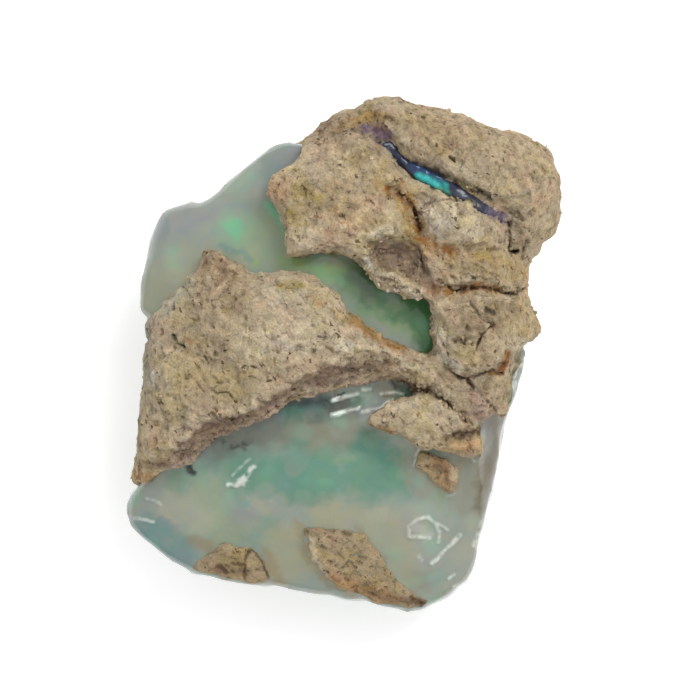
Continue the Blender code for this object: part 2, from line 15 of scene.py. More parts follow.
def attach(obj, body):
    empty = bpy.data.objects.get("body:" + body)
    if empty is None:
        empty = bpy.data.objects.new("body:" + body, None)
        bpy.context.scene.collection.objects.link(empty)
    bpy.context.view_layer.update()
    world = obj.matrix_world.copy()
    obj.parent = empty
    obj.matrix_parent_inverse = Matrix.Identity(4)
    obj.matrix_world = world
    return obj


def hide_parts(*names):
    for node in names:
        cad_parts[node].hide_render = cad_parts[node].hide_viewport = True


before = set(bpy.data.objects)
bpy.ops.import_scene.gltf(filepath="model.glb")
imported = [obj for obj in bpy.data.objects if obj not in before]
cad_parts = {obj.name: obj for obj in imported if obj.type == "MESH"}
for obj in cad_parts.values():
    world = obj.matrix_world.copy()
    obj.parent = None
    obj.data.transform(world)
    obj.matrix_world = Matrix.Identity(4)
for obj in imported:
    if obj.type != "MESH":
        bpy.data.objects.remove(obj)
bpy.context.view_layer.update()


# --- the opal ---------------------------------------------------------------------------
# A single mass of pale, milky opal that filled a hollow of the rock as a silica gel. It is
# broken out by hand and left unpolished: the breaks are shell-shaped and shine like glass,
# and soft clouds of grey, green and blue lie just under the skin.

MM = 0.001
OPAL_SKIN = 0.28  # side of the squares of its skin
OPAL_IOR = 1.45
PLUG_SWELL = 0.34  # closes the 0.3 mm gap round a buried piece
SCRAP_DROP = 0.16  # from a scrap's top to the opal under its rim


def placed(name, data):
    """A new object in the scene."""
    made = bpy.data.objects.new(name, data)
    bpy.context.scene.collection.objects.link(made)
    return made


def merged_copy(name, node):
    """A closed copy of one solid of the frame."""
    bm = bmesh.new()
    bm.from_mesh(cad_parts[node].data)
    bmesh.ops.remove_doubles(bm, verts=bm.verts, dist=0.001 * MM)
    mesh = bpy.data.meshes.new(name)
    bm.to_mesh(mesh)
    bm.free()
    return placed(name, mesh)


def points_of(piece):
    flat = np.empty(len(piece.data.vertices) * 3, np.float32)
    piece.data.vertices.foreach_get("co", flat)
    return flat.reshape(-1, 3).astype(float) / MM


def normals_of(piece):
    flat = np.empty(len(piece.data.vertices) * 3, np.float32)
    piece.data.vertex_normals.foreach_get("vector", flat)
    return flat.reshape(-1, 3).astype(float)


def put_points(piece, points):
    piece.data.vertices.foreach_set("co", (points * MM).astype(np.float32).ravel())
    piece.data.update()


def raise_skin(piece, height):
    """Moves each point out of the surface by its height, but not below the resting face."""
    points = points_of(piece) + normals_of(piece) * height[:, None]
    points[:, 2] = np.maximum(points[:, 2], 0.0)
    put_points(piece, points)


def apply_modifiers(piece):
    graph = bpy.context.evaluated_depsgraph_get()
    made = bpy.data.meshes.new_from_object(piece.evaluated_get(graph))
    piece.modifiers.clear()
    piece.data = made


def reskin(piece, size, softening):
    """An even, closed skin of squares of that size, smoothed a number of times."""
    skin = piece.modifiers.new("Skin", "REMESH")
    skin.mode = "VOXEL"
    skin.voxel_size = size * MM
    if softening:
        smooth = piece.modifiers.new("Smooth", "SMOOTH")
        smooth.factor = 0.5
        smooth.iterations = softening
    apply_modifiers(piece)


def refine(piece, chosen):
    """Splits the faces between the chosen points into four."""
    bm = bmesh.new()
    bm.from_mesh(piece.data)
    bm.verts.ensure_lookup_table()
    edges = [e for e in bm.edges if chosen[e.verts[0].index] and chosen[e.verts[1].index]]
    bmesh.ops.subdivide_edges(bm, edges=edges, cuts=1, use_grid_fill=True, smooth=0.3)
    bmesh.ops.triangulate(bm, faces=[f for f in bm.faces if len(f.verts) > 4])
    bm.to_mesh(piece.data)
    bm.free()


def lumps(points, size, seed, octaves=2):
    """Noise from about -1 to 1 at each point, with lumps of about that size."""
    start = Vector((seed, 1.7 * seed, 0.6 * seed))
    return np.array([noise.fractal(Vector(p) / size + start, 1.0, 2.0, octaves) for p in points])


def shells(points, size, seed):
    """From 0 in the middle of each rounded cell to about 1 on the ridges between them."""
    start = Vector((seed, 1.7 * seed, 0.6 * seed))
    near = [noise.voronoi(Vector(p) / size + start)[0][:2] for p in points]
    near = np.array(near)
    return near[:, 0] / np.maximum(near[:, 1], 1e-6)


def distance_to(points, line):
    """Distance in plan of each point to a line of straight stretches."""
    flat = points[:, :2]
    nearest = np.full(len(flat), np.inf)
    corners = np.array(line, float)
    for a, b in zip(corners, corners[1:]):
        along = b - a
        share = np.clip((flat - a) @ along / max(along @ along, 1e-9), 0.0, 1.0)
        away = flat - a - share[:, None] * along
        nearest = np.minimum(nearest, np.hypot(away[:, 0], away[:, 1]))
    return nearest


def fade(share):
    """A soft step from 0 to 1."""
    share = np.clip(share, 0.0, 1.0)
    return share * share * (3.0 - 2.0 * share)


def linear(colour):
    """The linear values of a colour that is written from 0 to 255."""
    share = np.array(colour, float) / 255.0
    return np.where(share <= 0.04045, share / 12.92, ((share + 0.055) / 1.055) ** 2.4)


def drift(points, size, seed, apart, octaves=2):
    """Two sets of noise at each point, by which a mark can be pushed about in plan."""
    return np.stack([lumps(points, size, s, octaves) for s in (seed, seed + apart)], axis=1)


def plain(points, colour):
    """One colour at every point."""
    return np.repeat(linear(colour)[None], len(points), axis=0)


def wash(tint, colour, share):
    """Blends a share of a colour into the tint, in place."""
    tint += (linear(colour) - tint) * share[:, None]


def stain(tint, points, facing_up, marks, wander, seed, patchiness=0.0):
    """Lays soft-edged marks over the tint: colour, strength, half width, and line."""
    shift = drift(points, 1.3, seed, 9.0) + 0.5 * drift(points, 0.4, seed, 9.0)
    moved = points.copy()
    moved[:, :2] += shift * wander
    patches = np.clip(1.0 + patchiness * (lumps(points, 0.5, seed + 3.0, 3) * 2.2 - 0.3), 0.0, 1.3)
    for colour, strength, half_width, line in marks:
        amount = strength * fade(1.25 - 1.25 * distance_to(moved, line) / half_width) * facing_up
        wash(tint, colour, np.clip(amount * patches, 0.0, 1.0))


def store_colour(piece, name, colour):
    rgba = np.concatenate([colour, np.ones((len(colour), 1))], axis=1)
    layer = piece.data.color_attributes.new(name, "FLOAT_COLOR", "POINT")
    layer.data.foreach_set("color", rgba.astype(np.float32).ravel())


def store_value(piece, name, value):
    layer = piece.data.attributes.new(name, "FLOAT", "POINT")
    layer.data.foreach_set("value", value.astype(np.float32))


def add(tree, kind, inputs=(), **settings):
    """A node with its settings; an input takes a value or another node's output."""
    made = tree.nodes.new(kind)
    for name, value in settings.items():
        setattr(made, name, value)
    for name, value in dict(inputs).items():
        if isinstance(value, bpy.types.NodeSocket):
            tree.links.new(value, made.inputs[name])
        else:
            made.inputs[name].default_value = value
    return made


def new_material(name):
    """An empty material and its shader, with coordinates in millimetres."""
    made = bpy.data.materials.new(name)
    made.use_nodes = True
    tree = made.node_tree
    place = add(tree, "ShaderNodeTexCoord").outputs["Object"]
    grid = add(tree, "ShaderNodeVectorMath", {0: place, 1: (1000.0,) * 3}, operation="MULTIPLY")
    return made, tree, tree.nodes["Principled BSDF"], grid.outputs[0]


def mixed(tree, share, first, second, blend="MIX"):
    """The output of a colour mix."""
    made = add(tree, "ShaderNodeMix", {0: share, 6: first, 7: second}, data_type="RGBA",
               blend_type=blend, clamp_factor=True)
    return made.outputs[2]


def ramp(tree, value, low, high, low_to=0.0, high_to=1.0):
    """The output of a soft ramp between two values."""
    made = add(tree, "ShaderNodeMapRange", {"Value": value, "From Min": low, "From Max": high,
                                            "To Min": low_to, "To Max": high_to},
               interpolation_type="SMOOTHSTEP")
    return made.outputs[0]


def rgb(colour):
    return (*linear(colour), 1.0)


def stored(tree, name, output="Color"):
    """A colour or value that is stored on the piece's points."""
    return add(tree, "ShaderNodeAttribute", attribute_name=name).outputs[output]


def roughen(tree, shader, height, strength, depth):
    """Fine relief in the shading only, of that depth in millimetres."""
    bump = add(tree, "ShaderNodeBump", {"Height": height, "Strength": strength,
                                        "Distance": depth * MM})
    tree.links.new(bump.outputs[0], shader.inputs["Normal"])


def set_shader(shader, values):
    for name, value in values.items():
        shader.inputs[name].default_value = value


def dress(piece, material, slot, *nodes):
    """Gives a finished piece its material and hangs it on the frame's root, hiding the solids it
    stands for; the slot is not used.
    """
    piece.data.materials.clear()
    piece.data.materials.append(material)
    piece.data.shade_smooth()
    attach(piece, "root")
    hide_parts(*nodes)


MILK = (152, 161, 154)
SLATE = (134, 147, 146)
PEARL = (164, 168, 160)
LAVENDER = (146, 147, 158)
SEA = (116, 149, 149)
TEAL = (98, 150, 132)
DEEP_TEAL = (72, 132, 114)
SAGE = (148, 166, 134)
EMERALD = (118, 192, 154)
MOSS = (144, 176, 112)
BOTTLE = (68, 120, 76)
STRAW = (168, 165, 138)
ASH = (146, 141, 126)
SMOKE = (98, 102, 95)
DUSK = (44, 64, 62)
BLUSH = (176, 175, 160)
HAZE = (128, 130, 116)
HORN = (98, 86, 64)
COAL = (34, 42, 38)
# painted highlight: the white of glints on glassy breaks
PAINTED_GLINT = (226, 232, 230)
# painted shade in hollows under the rock
HOLLOW_SHADE = (62, 48, 36)
SKIN = (154, 138, 110)

# Clouds of colour: colour, strength, half width, and the line along which the cloud lies.
OPAL_CLOUDS = (
    # upper pane
    (STRAW, 0.55, 3.6, ((-13.0, 3.6), (-9.5, 5.4))),
    (SLATE, 0.95, 2.2, ((-4.8, 13.2), (-3.6, 14.4))),
    (LAVENDER, 0.60, 1.1, ((-4.2, 13.4), (-3.4, 14.2))),
    (SLATE, 0.45, 2.0, ((-7.4, 10.8), (-5.6, 12.4))),
    (PEARL, 0.55, 0.7, ((-9.8, 10.9), (-7.2, 12.4), (-6.2, 13.2))),
    (LAVENDER, 0.60, 1.8, ((-13.2, 9.0), (-9.8, 9.4))),
    (SAGE, 0.75, 2.4, ((-6.8, 7.6), (-4.8, 7.2), (-5.0, 9.0))),
    (EMERALD, 0.85, 0.75, ((-8.3, 9.0), (-7.4, 8.6))),
    (EMERALD, 0.25, 1.5, ((-8.6, 8.6), (-7.0, 8.6))),
    (EMERALD, 0.80, 0.45, ((-5.5, 10.6), (-4.9, 9.9), (-4.5, 9.2), (-4.2, 8.3))),
    (MOSS, 0.70, 0.45, ((-6.6, 6.5), (-6.3, 6.3))),
    (EMERALD, 0.22, 0.7, ((-12.1, 6.1), (-11.8, 6.2))),
    (SEA, 0.65, 0.45, ((-8.5, 7.5), (-7.4, 7.1), (-6.8, 6.4))),
    # green window
    (MOSS, 0.80, 1.5, ((-3.6, 6.3), (0.4, 5.4))),
    (EMERALD, 0.30, 0.7, ((-1.8, 5.3), (-0.3, 5.1))),
    # painted shade along the window's upper edge, under the rim of the crown
    (HAZE, 0.60, 0.8, ((-2.4, 6.6), (-0.6, 6.6), (0.8, 6.2))),
    (BOTTLE, 0.90, 2.4, ((1.0, 4.8), (3.0, 3.2), (5.2, 2.4))),
    (SMOKE, 0.55, 0.9, ((0.6, 5.4), (1.4, 4.8), (1.6, 4.0))),
    (SAGE, 0.38, 0.9, ((1.2, 3.0), (2.4, 2.2), (3.6, 1.4))),
    (SEA, 0.50, 0.5, ((3.0, 4.0), (3.6, 3.6))),
    (LAVENDER, 0.55, 0.35, ((1.8, 2.3), (2.8, 1.7))),
    (BOTTLE, 1.00, 1.4, ((5.2, 3.4), (5.7, 1.6), (6.0, 0.4))),
    (SAGE, 0.45, 0.6, ((3.4, 2.1), (4.6, 1.2))),
    (SAGE, 0.40, 0.5, ((3.2, 3.4), (3.7, 3.1))),
    # lower face
    # The smoky and dusky bands just below the ledge are partly the opal's own dark colour and partly
    # painted shade under the rock's rim.
    (SMOKE, 0.80, 2.0, ((-9.0, -6.8), (-6.0, -5.6), (-3.4, -4.6))),
    (DUSK, 1.00, 1.3, ((-4.2, -4.2), (-2.6, -3.7), (-1.0, -3.7))),
    (DEEP_TEAL, 0.60, 1.0, ((-3.9, -4.6), (-2.0, -4.4))),
    (HAZE, 0.85, 1.8, ((-3.2, -5.7), (1.0, -5.9))),
    (SMOKE, 0.60, 0.8, ((-2.4, -4.6), (0.6, -4.4))),
    (TEAL, 0.90, 2.7, ((-7.0, -8.6), (-1.0, -8.4), (3.4, -9.0))),
    (TEAL, 0.55, 1.4, ((-9.8, -8.2), (-12.0, -9.3))),
    (DEEP_TEAL, 0.85, 1.5, ((1.6, -6.4), (2.8, -7.2), (3.7, -8.0))),
    (DEEP_TEAL, 0.50, 1.2, ((-3.4, -10.2), (-1.6, -10.0))),
    (DEEP_TEAL, 0.40, 0.8, ((-3.6, -6.4), (-2.4, -7.0))),
    (SAGE, 0.40, 0.6, ((-0.6, -7.6), (0.4, -7.4))),
    (SEA, 0.50, 0.7, ((-4.8, -9.4), (-4.0, -9.0))),
    (SAGE, 0.50, 2.6, ((-9.4, -10.6), (-8.4, -13.0))),
    (BLUSH, 0.75, 2.0, ((-12.4, -10.9), (-10.4, -11.8))),
    (LAVENDER, 0.50, 0.7, ((-13.4, -12.1), (-11.6, -12.5))),
    (SEA, 0.95, 1.7, ((-14.2, -12.6), (-12.6, -13.4), (-11.6, -14.4))),
    (LAVENDER, 0.45, 1.2, ((-7.6, -11.2), (-6.4, -11.0))),
    (BLUSH, 0.50, 0.7, ((-6.2, -10.8), (-5.4, -11.0))),
    (TEAL, 0.35, 1.4, ((-5.4, -12.4), (-5.8, -13.4))),
    (STRAW, 0.80, 2.0, ((-4.4, -13.4), (-5.0, -15.2), (-2.4, -14.6))),
    (ASH, 0.45, 0.9, ((4.4, -15.8), (5.6, -16.4))),
    (STRAW, 0.65, 2.2, ((-1.0, -11.6), (3.2, -12.6), (4.0, -15.0))),
    (BLUSH, 0.40, 0.8, ((2.0, -11.6), (2.6, -11.5))),
    (ASH, 0.75, 2.2, ((8.6, -8.2), (9.2, -10.6))),
    (DUSK, 0.25, 0.9, ((10.3, -5.8), (10.5, -7.4))),
    (ASH, 0.60, 1.2, ((4.2, -7.6), (5.2, -9.2), (6.6, -10.4))),
    (PEARL, 0.60, 3.0, ((5.6, -12.4), (8.0, -15.0))),
    (PEARL, 0.35, 1.6, ((3.4, -10.8), (5.2, -11.4))),
    (SMOKE, 0.60, 1.0, ((10.0, -4.9), (10.8, -5.6))),
    (HORN, 0.95, 1.9, ((11.0, -4.6), (10.9, -7.0), (10.5, -9.0))),
    (HORN, 0.70, 1.2, ((10.5, -9.0), (9.9, -12.0))),
    (PEARL, 0.90, 1.3, ((9.4, -12.4), (8.8, -14.5), (8.0, -16.2))),
    (SMOKE, 0.75, 1.2, ((12.3, 0.4), (12.2, -1.6), (12.0, -2.6))),
    # painted highlight along the glassy right strip
    (PAINTED_GLINT, 0.60, 0.25, ((12.6, -0.9), (12.3, -2.2), (11.8, -3.6))),
    # glassy step under the arch
    (SMOKE, 0.80, 0.8, ((-0.4, -3.9), (0.8, -3.6))),
    (LAVENDER, 0.85, 0.6, ((1.2, -4.1), (2.0, -4.0), (2.8, -3.6))),
    (PEARL, 0.80, 0.45, ((1.2, -3.0), (2.0, -3.2))),
    (ASH, 0.80, 0.5, ((2.4, -2.8), (3.8, -3.1))),
    (COAL, 0.95, 0.22, ((-0.5, -2.95), (-0.1, -2.85))),
    # dark mineral grains grown into the opal along the ledge
    (SMOKE, 0.90, 0.50, ((-8.8, -6.4), (-7.4, -6.6), (-6.9, -6.1))),
    (COAL, 1.00, 0.34, ((-11.3, -7.9), (-10.9, -8.15), (-10.45, -8.6))),
    (COAL, 0.80, 0.20, ((-8.5, -6.35), (-8.3, -6.4))),
    (COAL, 0.75, 0.18, ((-7.9, -6.65), (-7.6, -6.6))),
    (COAL, 0.80, 0.20, ((-7.3, -6.3), (-7.0, -6.4))),
    (COAL, 0.60, 0.16, ((-7.2, -6.85), (-7.1, -6.9))),
    # painted highlights: the hook of glints at the lower left and the faint ring at the lower right
    (PAINTED_GLINT, 0.80, 0.36, ((-7.8, -9.2), (-7.1, -8.75))),
    (PAINTED_GLINT, 0.22, 0.8, ((5.3, -12.4), (6.1, -12.9))),
    # painted shade in the hollows under the rims of the rock
    (HOLLOW_SHADE, 0.40, 0.60, ((-0.2, -3.7), (1.2, -3.4))),
    (HOLLOW_SHADE, 1.00, 0.65, ((3.7, -2.3), (4.6, -2.6), (5.4, -2.7))),
    (HOLLOW_SHADE, 0.55, 0.35, ((1.1, 6.1), (1.9, 5.3), (2.7, 4.7), (3.6, 4.4))),
    # thin skins of sandy crust round the scraps
    (SKIN, 0.70, 0.8, ((-10.9, -13.6), (-9.6, -13.9), (-9.2, -14.9), (-8.6, -15.9))),
    (SKIN, 0.70, 0.7, ((-5.8, -14.2), (-5.2, -15.4), (-4.6, -16.3))),
    (SKIN, 0.60, 0.5, ((-3.4, -12.5), (-2.8, -14.2), (-1.6, -16.0), (0.6, -17.3))),
    (SKIN, 0.55, 0.5, ((0.8, -12.7), (2.2, -14.4), (3.4, -16.4), (5.4, -17.6))),
    (SKIN, 0.60, 0.5, ((5.2, -6.9), (5.4, -8.2), (6.6, -9.4), (7.6, -9.6), (8.1, -8.2))),
)

SHELL_SIZE = 4.5
SHELL_DEPTH = 0.34
SHELL_FLATTENING = 0.32  # taken off that depth where the opal faces up
WAVE_HEIGHT, WAVE_SIZE = 0.04, 3.0
GRAIN_HEIGHT, GRAIN_SIZE = 0.010, 0.7
RIPPLE_PLACE = ((7.0, -16.2), (8.8, -15.6))
RIPPLE_REACH = 2.6
RIPPLE_HEIGHT = 0.02
RIPPLE_TURN = 6.5  # radians per millimetre
RIPPLE_CENTRE = (4.6, -12.6)
RIDGE_GLINT = 6.5  # strength of the painted highlight along a ridge, per millimetre of its height

# Low, sharp ridges on which the light breaks, each with a painted highlight along it: height, half
# width, and line.
OPAL_RIDGES = (
    (0.14, 0.30, ((-8.2, -9.35), (-7.6, -9.4), (-7.1, -9.0), (-6.7, -8.5), (-6.4, -8.1))),
    (0.05, 0.22, ((-7.9, -8.7), (-6.7, -7.6))),
    (0.12, 0.28, ((-0.8, -3.45), (0.2, -3.05), (0.9, -2.9))),
    (0.12, 0.24, ((-0.9, -4.5), (0.0, -4.25), (1.0, -3.95))),
    (0.12, 0.26, ((1.3, -2.6), (1.8, -2.6))),
    (0.12, 0.24, ((2.6, -2.95), (3.4, -2.85), (4.1, -2.95))),
    (0.11, 0.26, ((3.1, -3.5), (2.6, -3.9), (1.3, -4.2))),
    (0.08, 0.24, ((4.6, -13.1), (4.55, -12.4), (5.1, -11.85), (6.0, -11.7), (6.4, -12.2),
                  (6.7, -12.8), (6.65, -13.5))),
    (0.07, 0.22, ((6.0, -11.8), (6.6, -12.2), (7.3, -12.6))),
    (0.08, 0.24, ((4.7, -13.1), (6.0, -13.15))),
    (0.11, 0.26, ((8.2, -13.1), (7.2, -14.0), (6.6, -14.7), (6.2, -15.0))),
    (0.07, 0.22, ((5.3, -14.5), (5.5, -14.8))),
    (0.08, 0.22, ((7.4, -16.2), (7.8, -15.9))),
    (0.08, 0.22, ((7.8, -16.8), (8.1, -16.6))),
    (0.10, 0.22, ((5.35, -6.7), (5.05, -7.3), (4.95, -8.0))),
    (0.08, 0.20, ((8.3, -7.2), (8.8, -7.35), (9.2, -7.7))),
    (0.09, 0.22, ((4.3, -6.1), (4.7, -6.35), (5.2, -6.6))),
    (0.08, 0.24, ((-14.0, -10.4), (-13.5, -10.5), (-13.1, -10.8))),
    (0.08, 0.22, ((-14.9, -11.8), (-13.6, -12.1))),
    (0.08, 0.30, ((9.8, -12.0), (9.5, -13.0), (9.2, -13.8))),
)


def fill_pocket(piece, node, drop):
    """Fills the pocket that a buried piece leaves, up to that far below the piece's top."""
    plug = merged_copy("plug", node)
    sunk = (0.0, 0.0, drop + PLUG_SWELL)
    put_points(plug, points_of(plug) + normals_of(plug) * PLUG_SWELL - sunk)
    bm = bmesh.new()
    bm.from_mesh(piece.data)
    bm.from_mesh(plug.data)
    bm.to_mesh(piece.data)
    bm.free()
    bpy.data.objects.remove(plug)


def beside(points, lines, reach):
    """Which points lie that near to any of the lines."""
    return np.min([distance_to(points, line) for line in lines], axis=0) < reach


def refine_beside(piece, marks, reach, steepest):
    """Splits the faces along the lines of the marks, where they face up that much."""
    near = beside(points_of(piece), [mark[-1] for mark in marks], reach)
    refine(piece, near & (normals_of(piece)[:, 2] > steepest))


opal = merged_copy("pale_opal", "opal_body")
for scrap_node in ("rock_inclusion", "bottom_crust", "corner_crust"):
    fill_pocket(opal, scrap_node, SCRAP_DROP)
reskin(opal, OPAL_SKIN, 5)
refine(opal, normals_of(opal)[:, 2] > 0.25)
refine_beside(opal, OPAL_RIDGES, 0.45, 0.25)

points = points_of(opal)
facing = normals_of(opal)
up = fade((facing[:, 2] + 0.1) / 0.5)
height = WAVE_HEIGHT * lumps(points, WAVE_SIZE, 4.0) + GRAIN_HEIGHT * lumps(points, GRAIN_SIZE, 8.0)
height += (SHELL_DEPTH - SHELL_FLATTENING * up) * (shells(points, SHELL_SIZE, 2.0) - 0.5)
ripple = fade(1.2 - distance_to(points, RIPPLE_PLACE) / RIPPLE_REACH)
from_centre = np.hypot(points[:, 0] - RIPPLE_CENTRE[0], points[:, 1] - RIPPLE_CENTRE[1])
height += ripple * RIPPLE_HEIGHT * np.sin(RIPPLE_TURN * from_centre)
for top, half_width, line in OPAL_RIDGES:
    height += up * top * np.maximum(0.0, 1.0 - distance_to(points, line) / half_width)
raise_skin(opal, height)

zones = lumps(points, 5.0, 21.0, 3)
veils = lumps(points, 3.4, 33.0, 3)
tint = plain(points, MILK)
for colour, share in ((SAGE, zones), (SEA, -zones), (STRAW, veils), (TEAL, -veils)):
    wash(tint, colour, 0.75 * fade(2.2 * share - 0.15))
wash(tint, MILK, up)
stain(tint, points, up, OPAL_CLOUDS, 0.45, 3.0)
# Painted shade: the opal's colour is darker where its skin turns to the side.
tint *= (0.72 + 0.28 * fade(facing[:, 2] / 0.6))[:, None]
# Painted highlights: a white glint painted along each ridge, the stronger the higher the ridge.
painted_glints = [(PAINTED_GLINT, RIDGE_GLINT * top, 0.85 * half_width, line)
         for top, half_width, line in OPAL_RIDGES]
stain(tint, points, up, painted_glints, 0.09, 5.0, 0.5)
store_colour(opal, "tint", tint)

opal_finish, tree, shader, grid = new_material("Milky opal")
own = stored(tree, "tint")
cloud = add(tree, "ShaderNodeTexNoise", {"Vector": grid, "Scale": 0.55, "Detail": 4.0,
                                         "Roughness": 0.6, "Distortion": 0.8})
own = mixed(tree, 1.0, own, add(tree, "ShaderNodeCombineColor", {
    "Red": ramp(tree, cloud.outputs[0], 0.3, 0.7, 0.89, 1.05),
    "Green": ramp(tree, cloud.outputs[0], 0.3, 0.7, 0.96, 0.99),
    "Blue": ramp(tree, cloud.outputs[0], 0.3, 0.7, 0.93, 0.86)}).outputs[0], "MULTIPLY")
flakes = add(tree, "ShaderNodeTexVoronoi", {"Vector": grid, "Scale": 0.75, "Randomness": 1.0},
             feature="SMOOTH_F1")
hue = add(tree, "ShaderNodeSeparateColor", {"Color": flakes.outputs["Color"]})
own = mixed(tree, ramp(tree, hue.outputs[0], 0.55, 0.95, 0.0, 0.22), own, rgb(EMERALD))
own = mixed(tree, ramp(tree, hue.outputs[1], 0.60, 0.95, 0.0, 0.22), own, rgb(LAVENDER))
own = mixed(tree, ramp(tree, hue.outputs[2], 0.65, 0.95, 0.0, 0.16), own, rgb(STRAW))
specks = add(tree, "ShaderNodeTexNoise", {"Vector": grid, "Scale": 5.0, "Detail": 3.0})
own = mixed(tree, ramp(tree, specks.outputs[0], 0.62, 0.8, 0.0, 0.25), own, rgb(PEARL))
tree.links.new(own, shader.inputs["Base Color"])
tree.links.new(ramp(tree, specks.outputs[0], 0.3, 0.8, 0.08, 0.20), shader.inputs["Roughness"])
waves = add(tree, "ShaderNodeTexNoise", {"Vector": grid, "Scale": 1.3, "Detail": 5.0})
roughen(tree, shader, waves.outputs[0], 0.25, 0.06)
set_shader(shader, {"IOR": OPAL_IOR, "Subsurface Weight": 0.25,
                    "Subsurface Radius": (0.9, 1.0, 0.9), "Subsurface Scale": 0.6 * MM,
                    "Transmission Weight": 0.12, "Coat Weight": 0.35, "Coat Roughness": 0.04})
dress(opal, opal_finish, "opal_body", "opal_body")


# --- the opal seam ----------------------------------------------------------------------
# A thin vein of precious opal in a crack of the crown, filled from the same gel as the main
# mass. It is nearly black where it is thin and flashes turquoise where it opens.

SEAM_SKIN = 0.11  # side of the squares of its skin
SEAM_SINK = 0.16  # of the whole vein, below its solid
SEAM_OPEN = ((4.6, 12.9), (6.9, 11.6))
SEAM_OPEN_RISE = 0.24
SEAM_DARK_END = ((7.8, 11.2), (9.6, 10.2))
SEAM_DARK_RISE = 0.14
SEAM_THIN_END = 4.4  # the vein thins out to the left of this
SEAM_THIN_SINK = 0.12
SEAM_LUMP_HEIGHT, SEAM_LUMP_SIZE = 0.13, 0.6

INK = (30, 36, 58)
VIOLET = (112, 100, 124)
BLUE_GREY = (72, 75, 82)
TURQUOISE = (36, 158, 158)
CYAN = (60, 186, 184)
COBALT = (32, 64, 108)
GREEN_FLASH = (70, 160, 130)

SEAM_FLASHES = (
    (VIOLET, 0.90, 0.9, ((1.2, 15.7), (2.4, 15.3))),
    (INK, 0.90, 0.7, ((2.6, 14.9), (3.1, 14.4))),
    (INK, 0.80, 0.6, ((2.2, 15.2), (3.0, 14.7))),
    (INK, 0.80, 0.8, ((3.8, 13.4), (5.0, 12.9))),
    (COBALT, 0.80, 0.5, ((4.9, 12.9), (6.0, 12.5), (6.8, 12.1))),
    (TURQUOISE, 0.95, 0.46, ((5.2, 12.2), (6.0, 11.9), (7.0, 11.4))),
    (CYAN, 0.80, 0.28, ((5.3, 12.3), (5.9, 12.0), (6.4, 11.7))),
    (GREEN_FLASH, 0.80, 0.30, ((6.4, 11.4), (7.2, 11.1))),
    (BLUE_GREY, 0.70, 0.5, ((8.0, 11.0), (9.0, 10.4), (10.0, 9.9))),
    (VIOLET, 0.60, 0.6, ((10.2, 9.8), (11.2, 9.3))),
)

seam = merged_copy("blue_seam", "opal_seam")
reskin(seam, SEAM_SKIN, 3)
points = points_of(seam)
wide = fade(1.6 - distance_to(points, SEAM_OPEN) / 1.3)
dark_end = fade(1.5 - distance_to(points, SEAM_DARK_END) / 0.9)
thin_end = fade((SEAM_THIN_END - points[:, 0]) / 0.8)
rise = SEAM_OPEN_RISE * wide + SEAM_DARK_RISE * dark_end - SEAM_THIN_SINK * thin_end - SEAM_SINK
points[:, 2] += rise
points[:, 2] += SEAM_LUMP_HEIGHT * lumps(points, SEAM_LUMP_SIZE, 71.0)
put_points(seam, points)
facing = normals_of(seam)
tint = plain(points, INK)
stain(tint, points, fade((facing[:, 2] + 0.6) / 0.6), SEAM_FLASHES, 0.20, 75.0, 0.35)
store_colour(seam, "tint", tint)

seam_finish, tree, shader, grid = new_material("Blue opal")
own = stored(tree, "tint")
glow = add(tree, "ShaderNodeTexNoise", {"Vector": grid, "Scale": 2.4, "Detail": 4.0})
own = mixed(tree, ramp(tree, glow.outputs[0], 0.55, 0.75, 0.0, 0.45), own, rgb(COBALT))
own = mixed(tree, ramp(tree, glow.outputs[0], 0.45, 0.25, 0.0, 0.45), own, rgb(INK))
tree.links.new(own, shader.inputs["Base Color"])
tree.links.new(ramp(tree, glow.outputs[0], 0.3, 0.7, 0.18, 0.34), shader.inputs["Roughness"])
roughen(tree, shader, glow.outputs[0], 0.3, 0.08)
set_shader(shader, {"IOR": OPAL_IOR, "Coat Weight": 0.2, "Coat Roughness": 0.08})
dress(seam, seam_finish, "opal_seam", "opal_seam")


# --- the host rock ----------------------------------------------------------------------
# Weathered volcanic ash rock, sandy and full of small gas pits, that grips the opal on the
# crown, the back and the middle of the face. Iron has stained its cracks orange and brown.
# Its lower edge on the face breaks off in thin beds over the opal.

ROCK_SKIN = 0.31  # side of the squares of its skin
BEDDING = (0.64, -0.77, 0.0)  # way in which the beds run, seen from above
SPLINTER_LENGTH = 1.6  # along the bedding, as a multiple of the width
SEAM_DROP = 0.20  # from the seam's top to the rock beside it
GRIT_HEIGHT, GRIT_SIZE = 0.06, 0.5
CHIP_HEIGHT, CHIP_SIZE = 0.07, 0.9
SWELL_HEIGHT, SWELL_SIZE = 0.08, 1.6
SLAB_HEIGHT, SLAB_SIZE = 0.15, 2.2
BED_THICKNESS = 0.42
BED_STEP = 0.30
CREST_SHARE = 0.8  # of the height that the table of crests gives
CRACK_SEED = 41.0
HOLLOW_SEED = 43.0
CREST_SEED = 47.0

TAN = (174, 158, 130)
CREAM = (196, 182, 156)
CHALK = (206, 196, 176)
SAND = (164, 146, 116)
GREY_TAN = (164, 150, 128)
FAWN = (150, 132, 104)
UMBER = (122, 102, 78)
BARK = (84, 66, 48)
# painted shade in cracks, holes and hollows, and under overhangs
CREVICE_SHADE = (46, 38, 32)
MAUVE = (130, 110, 94)
LIP = (158, 138, 120)
OCHRE = (158, 132, 84)
RUST = (152, 112, 68)
FLAME = (134, 88, 40)
OLIVE = (150, 132, 66)
PEACH = (186, 150, 112)
NAVY = (38, 44, 66)
PLUM = (112, 96, 112)
MOULD = (116, 116, 92)

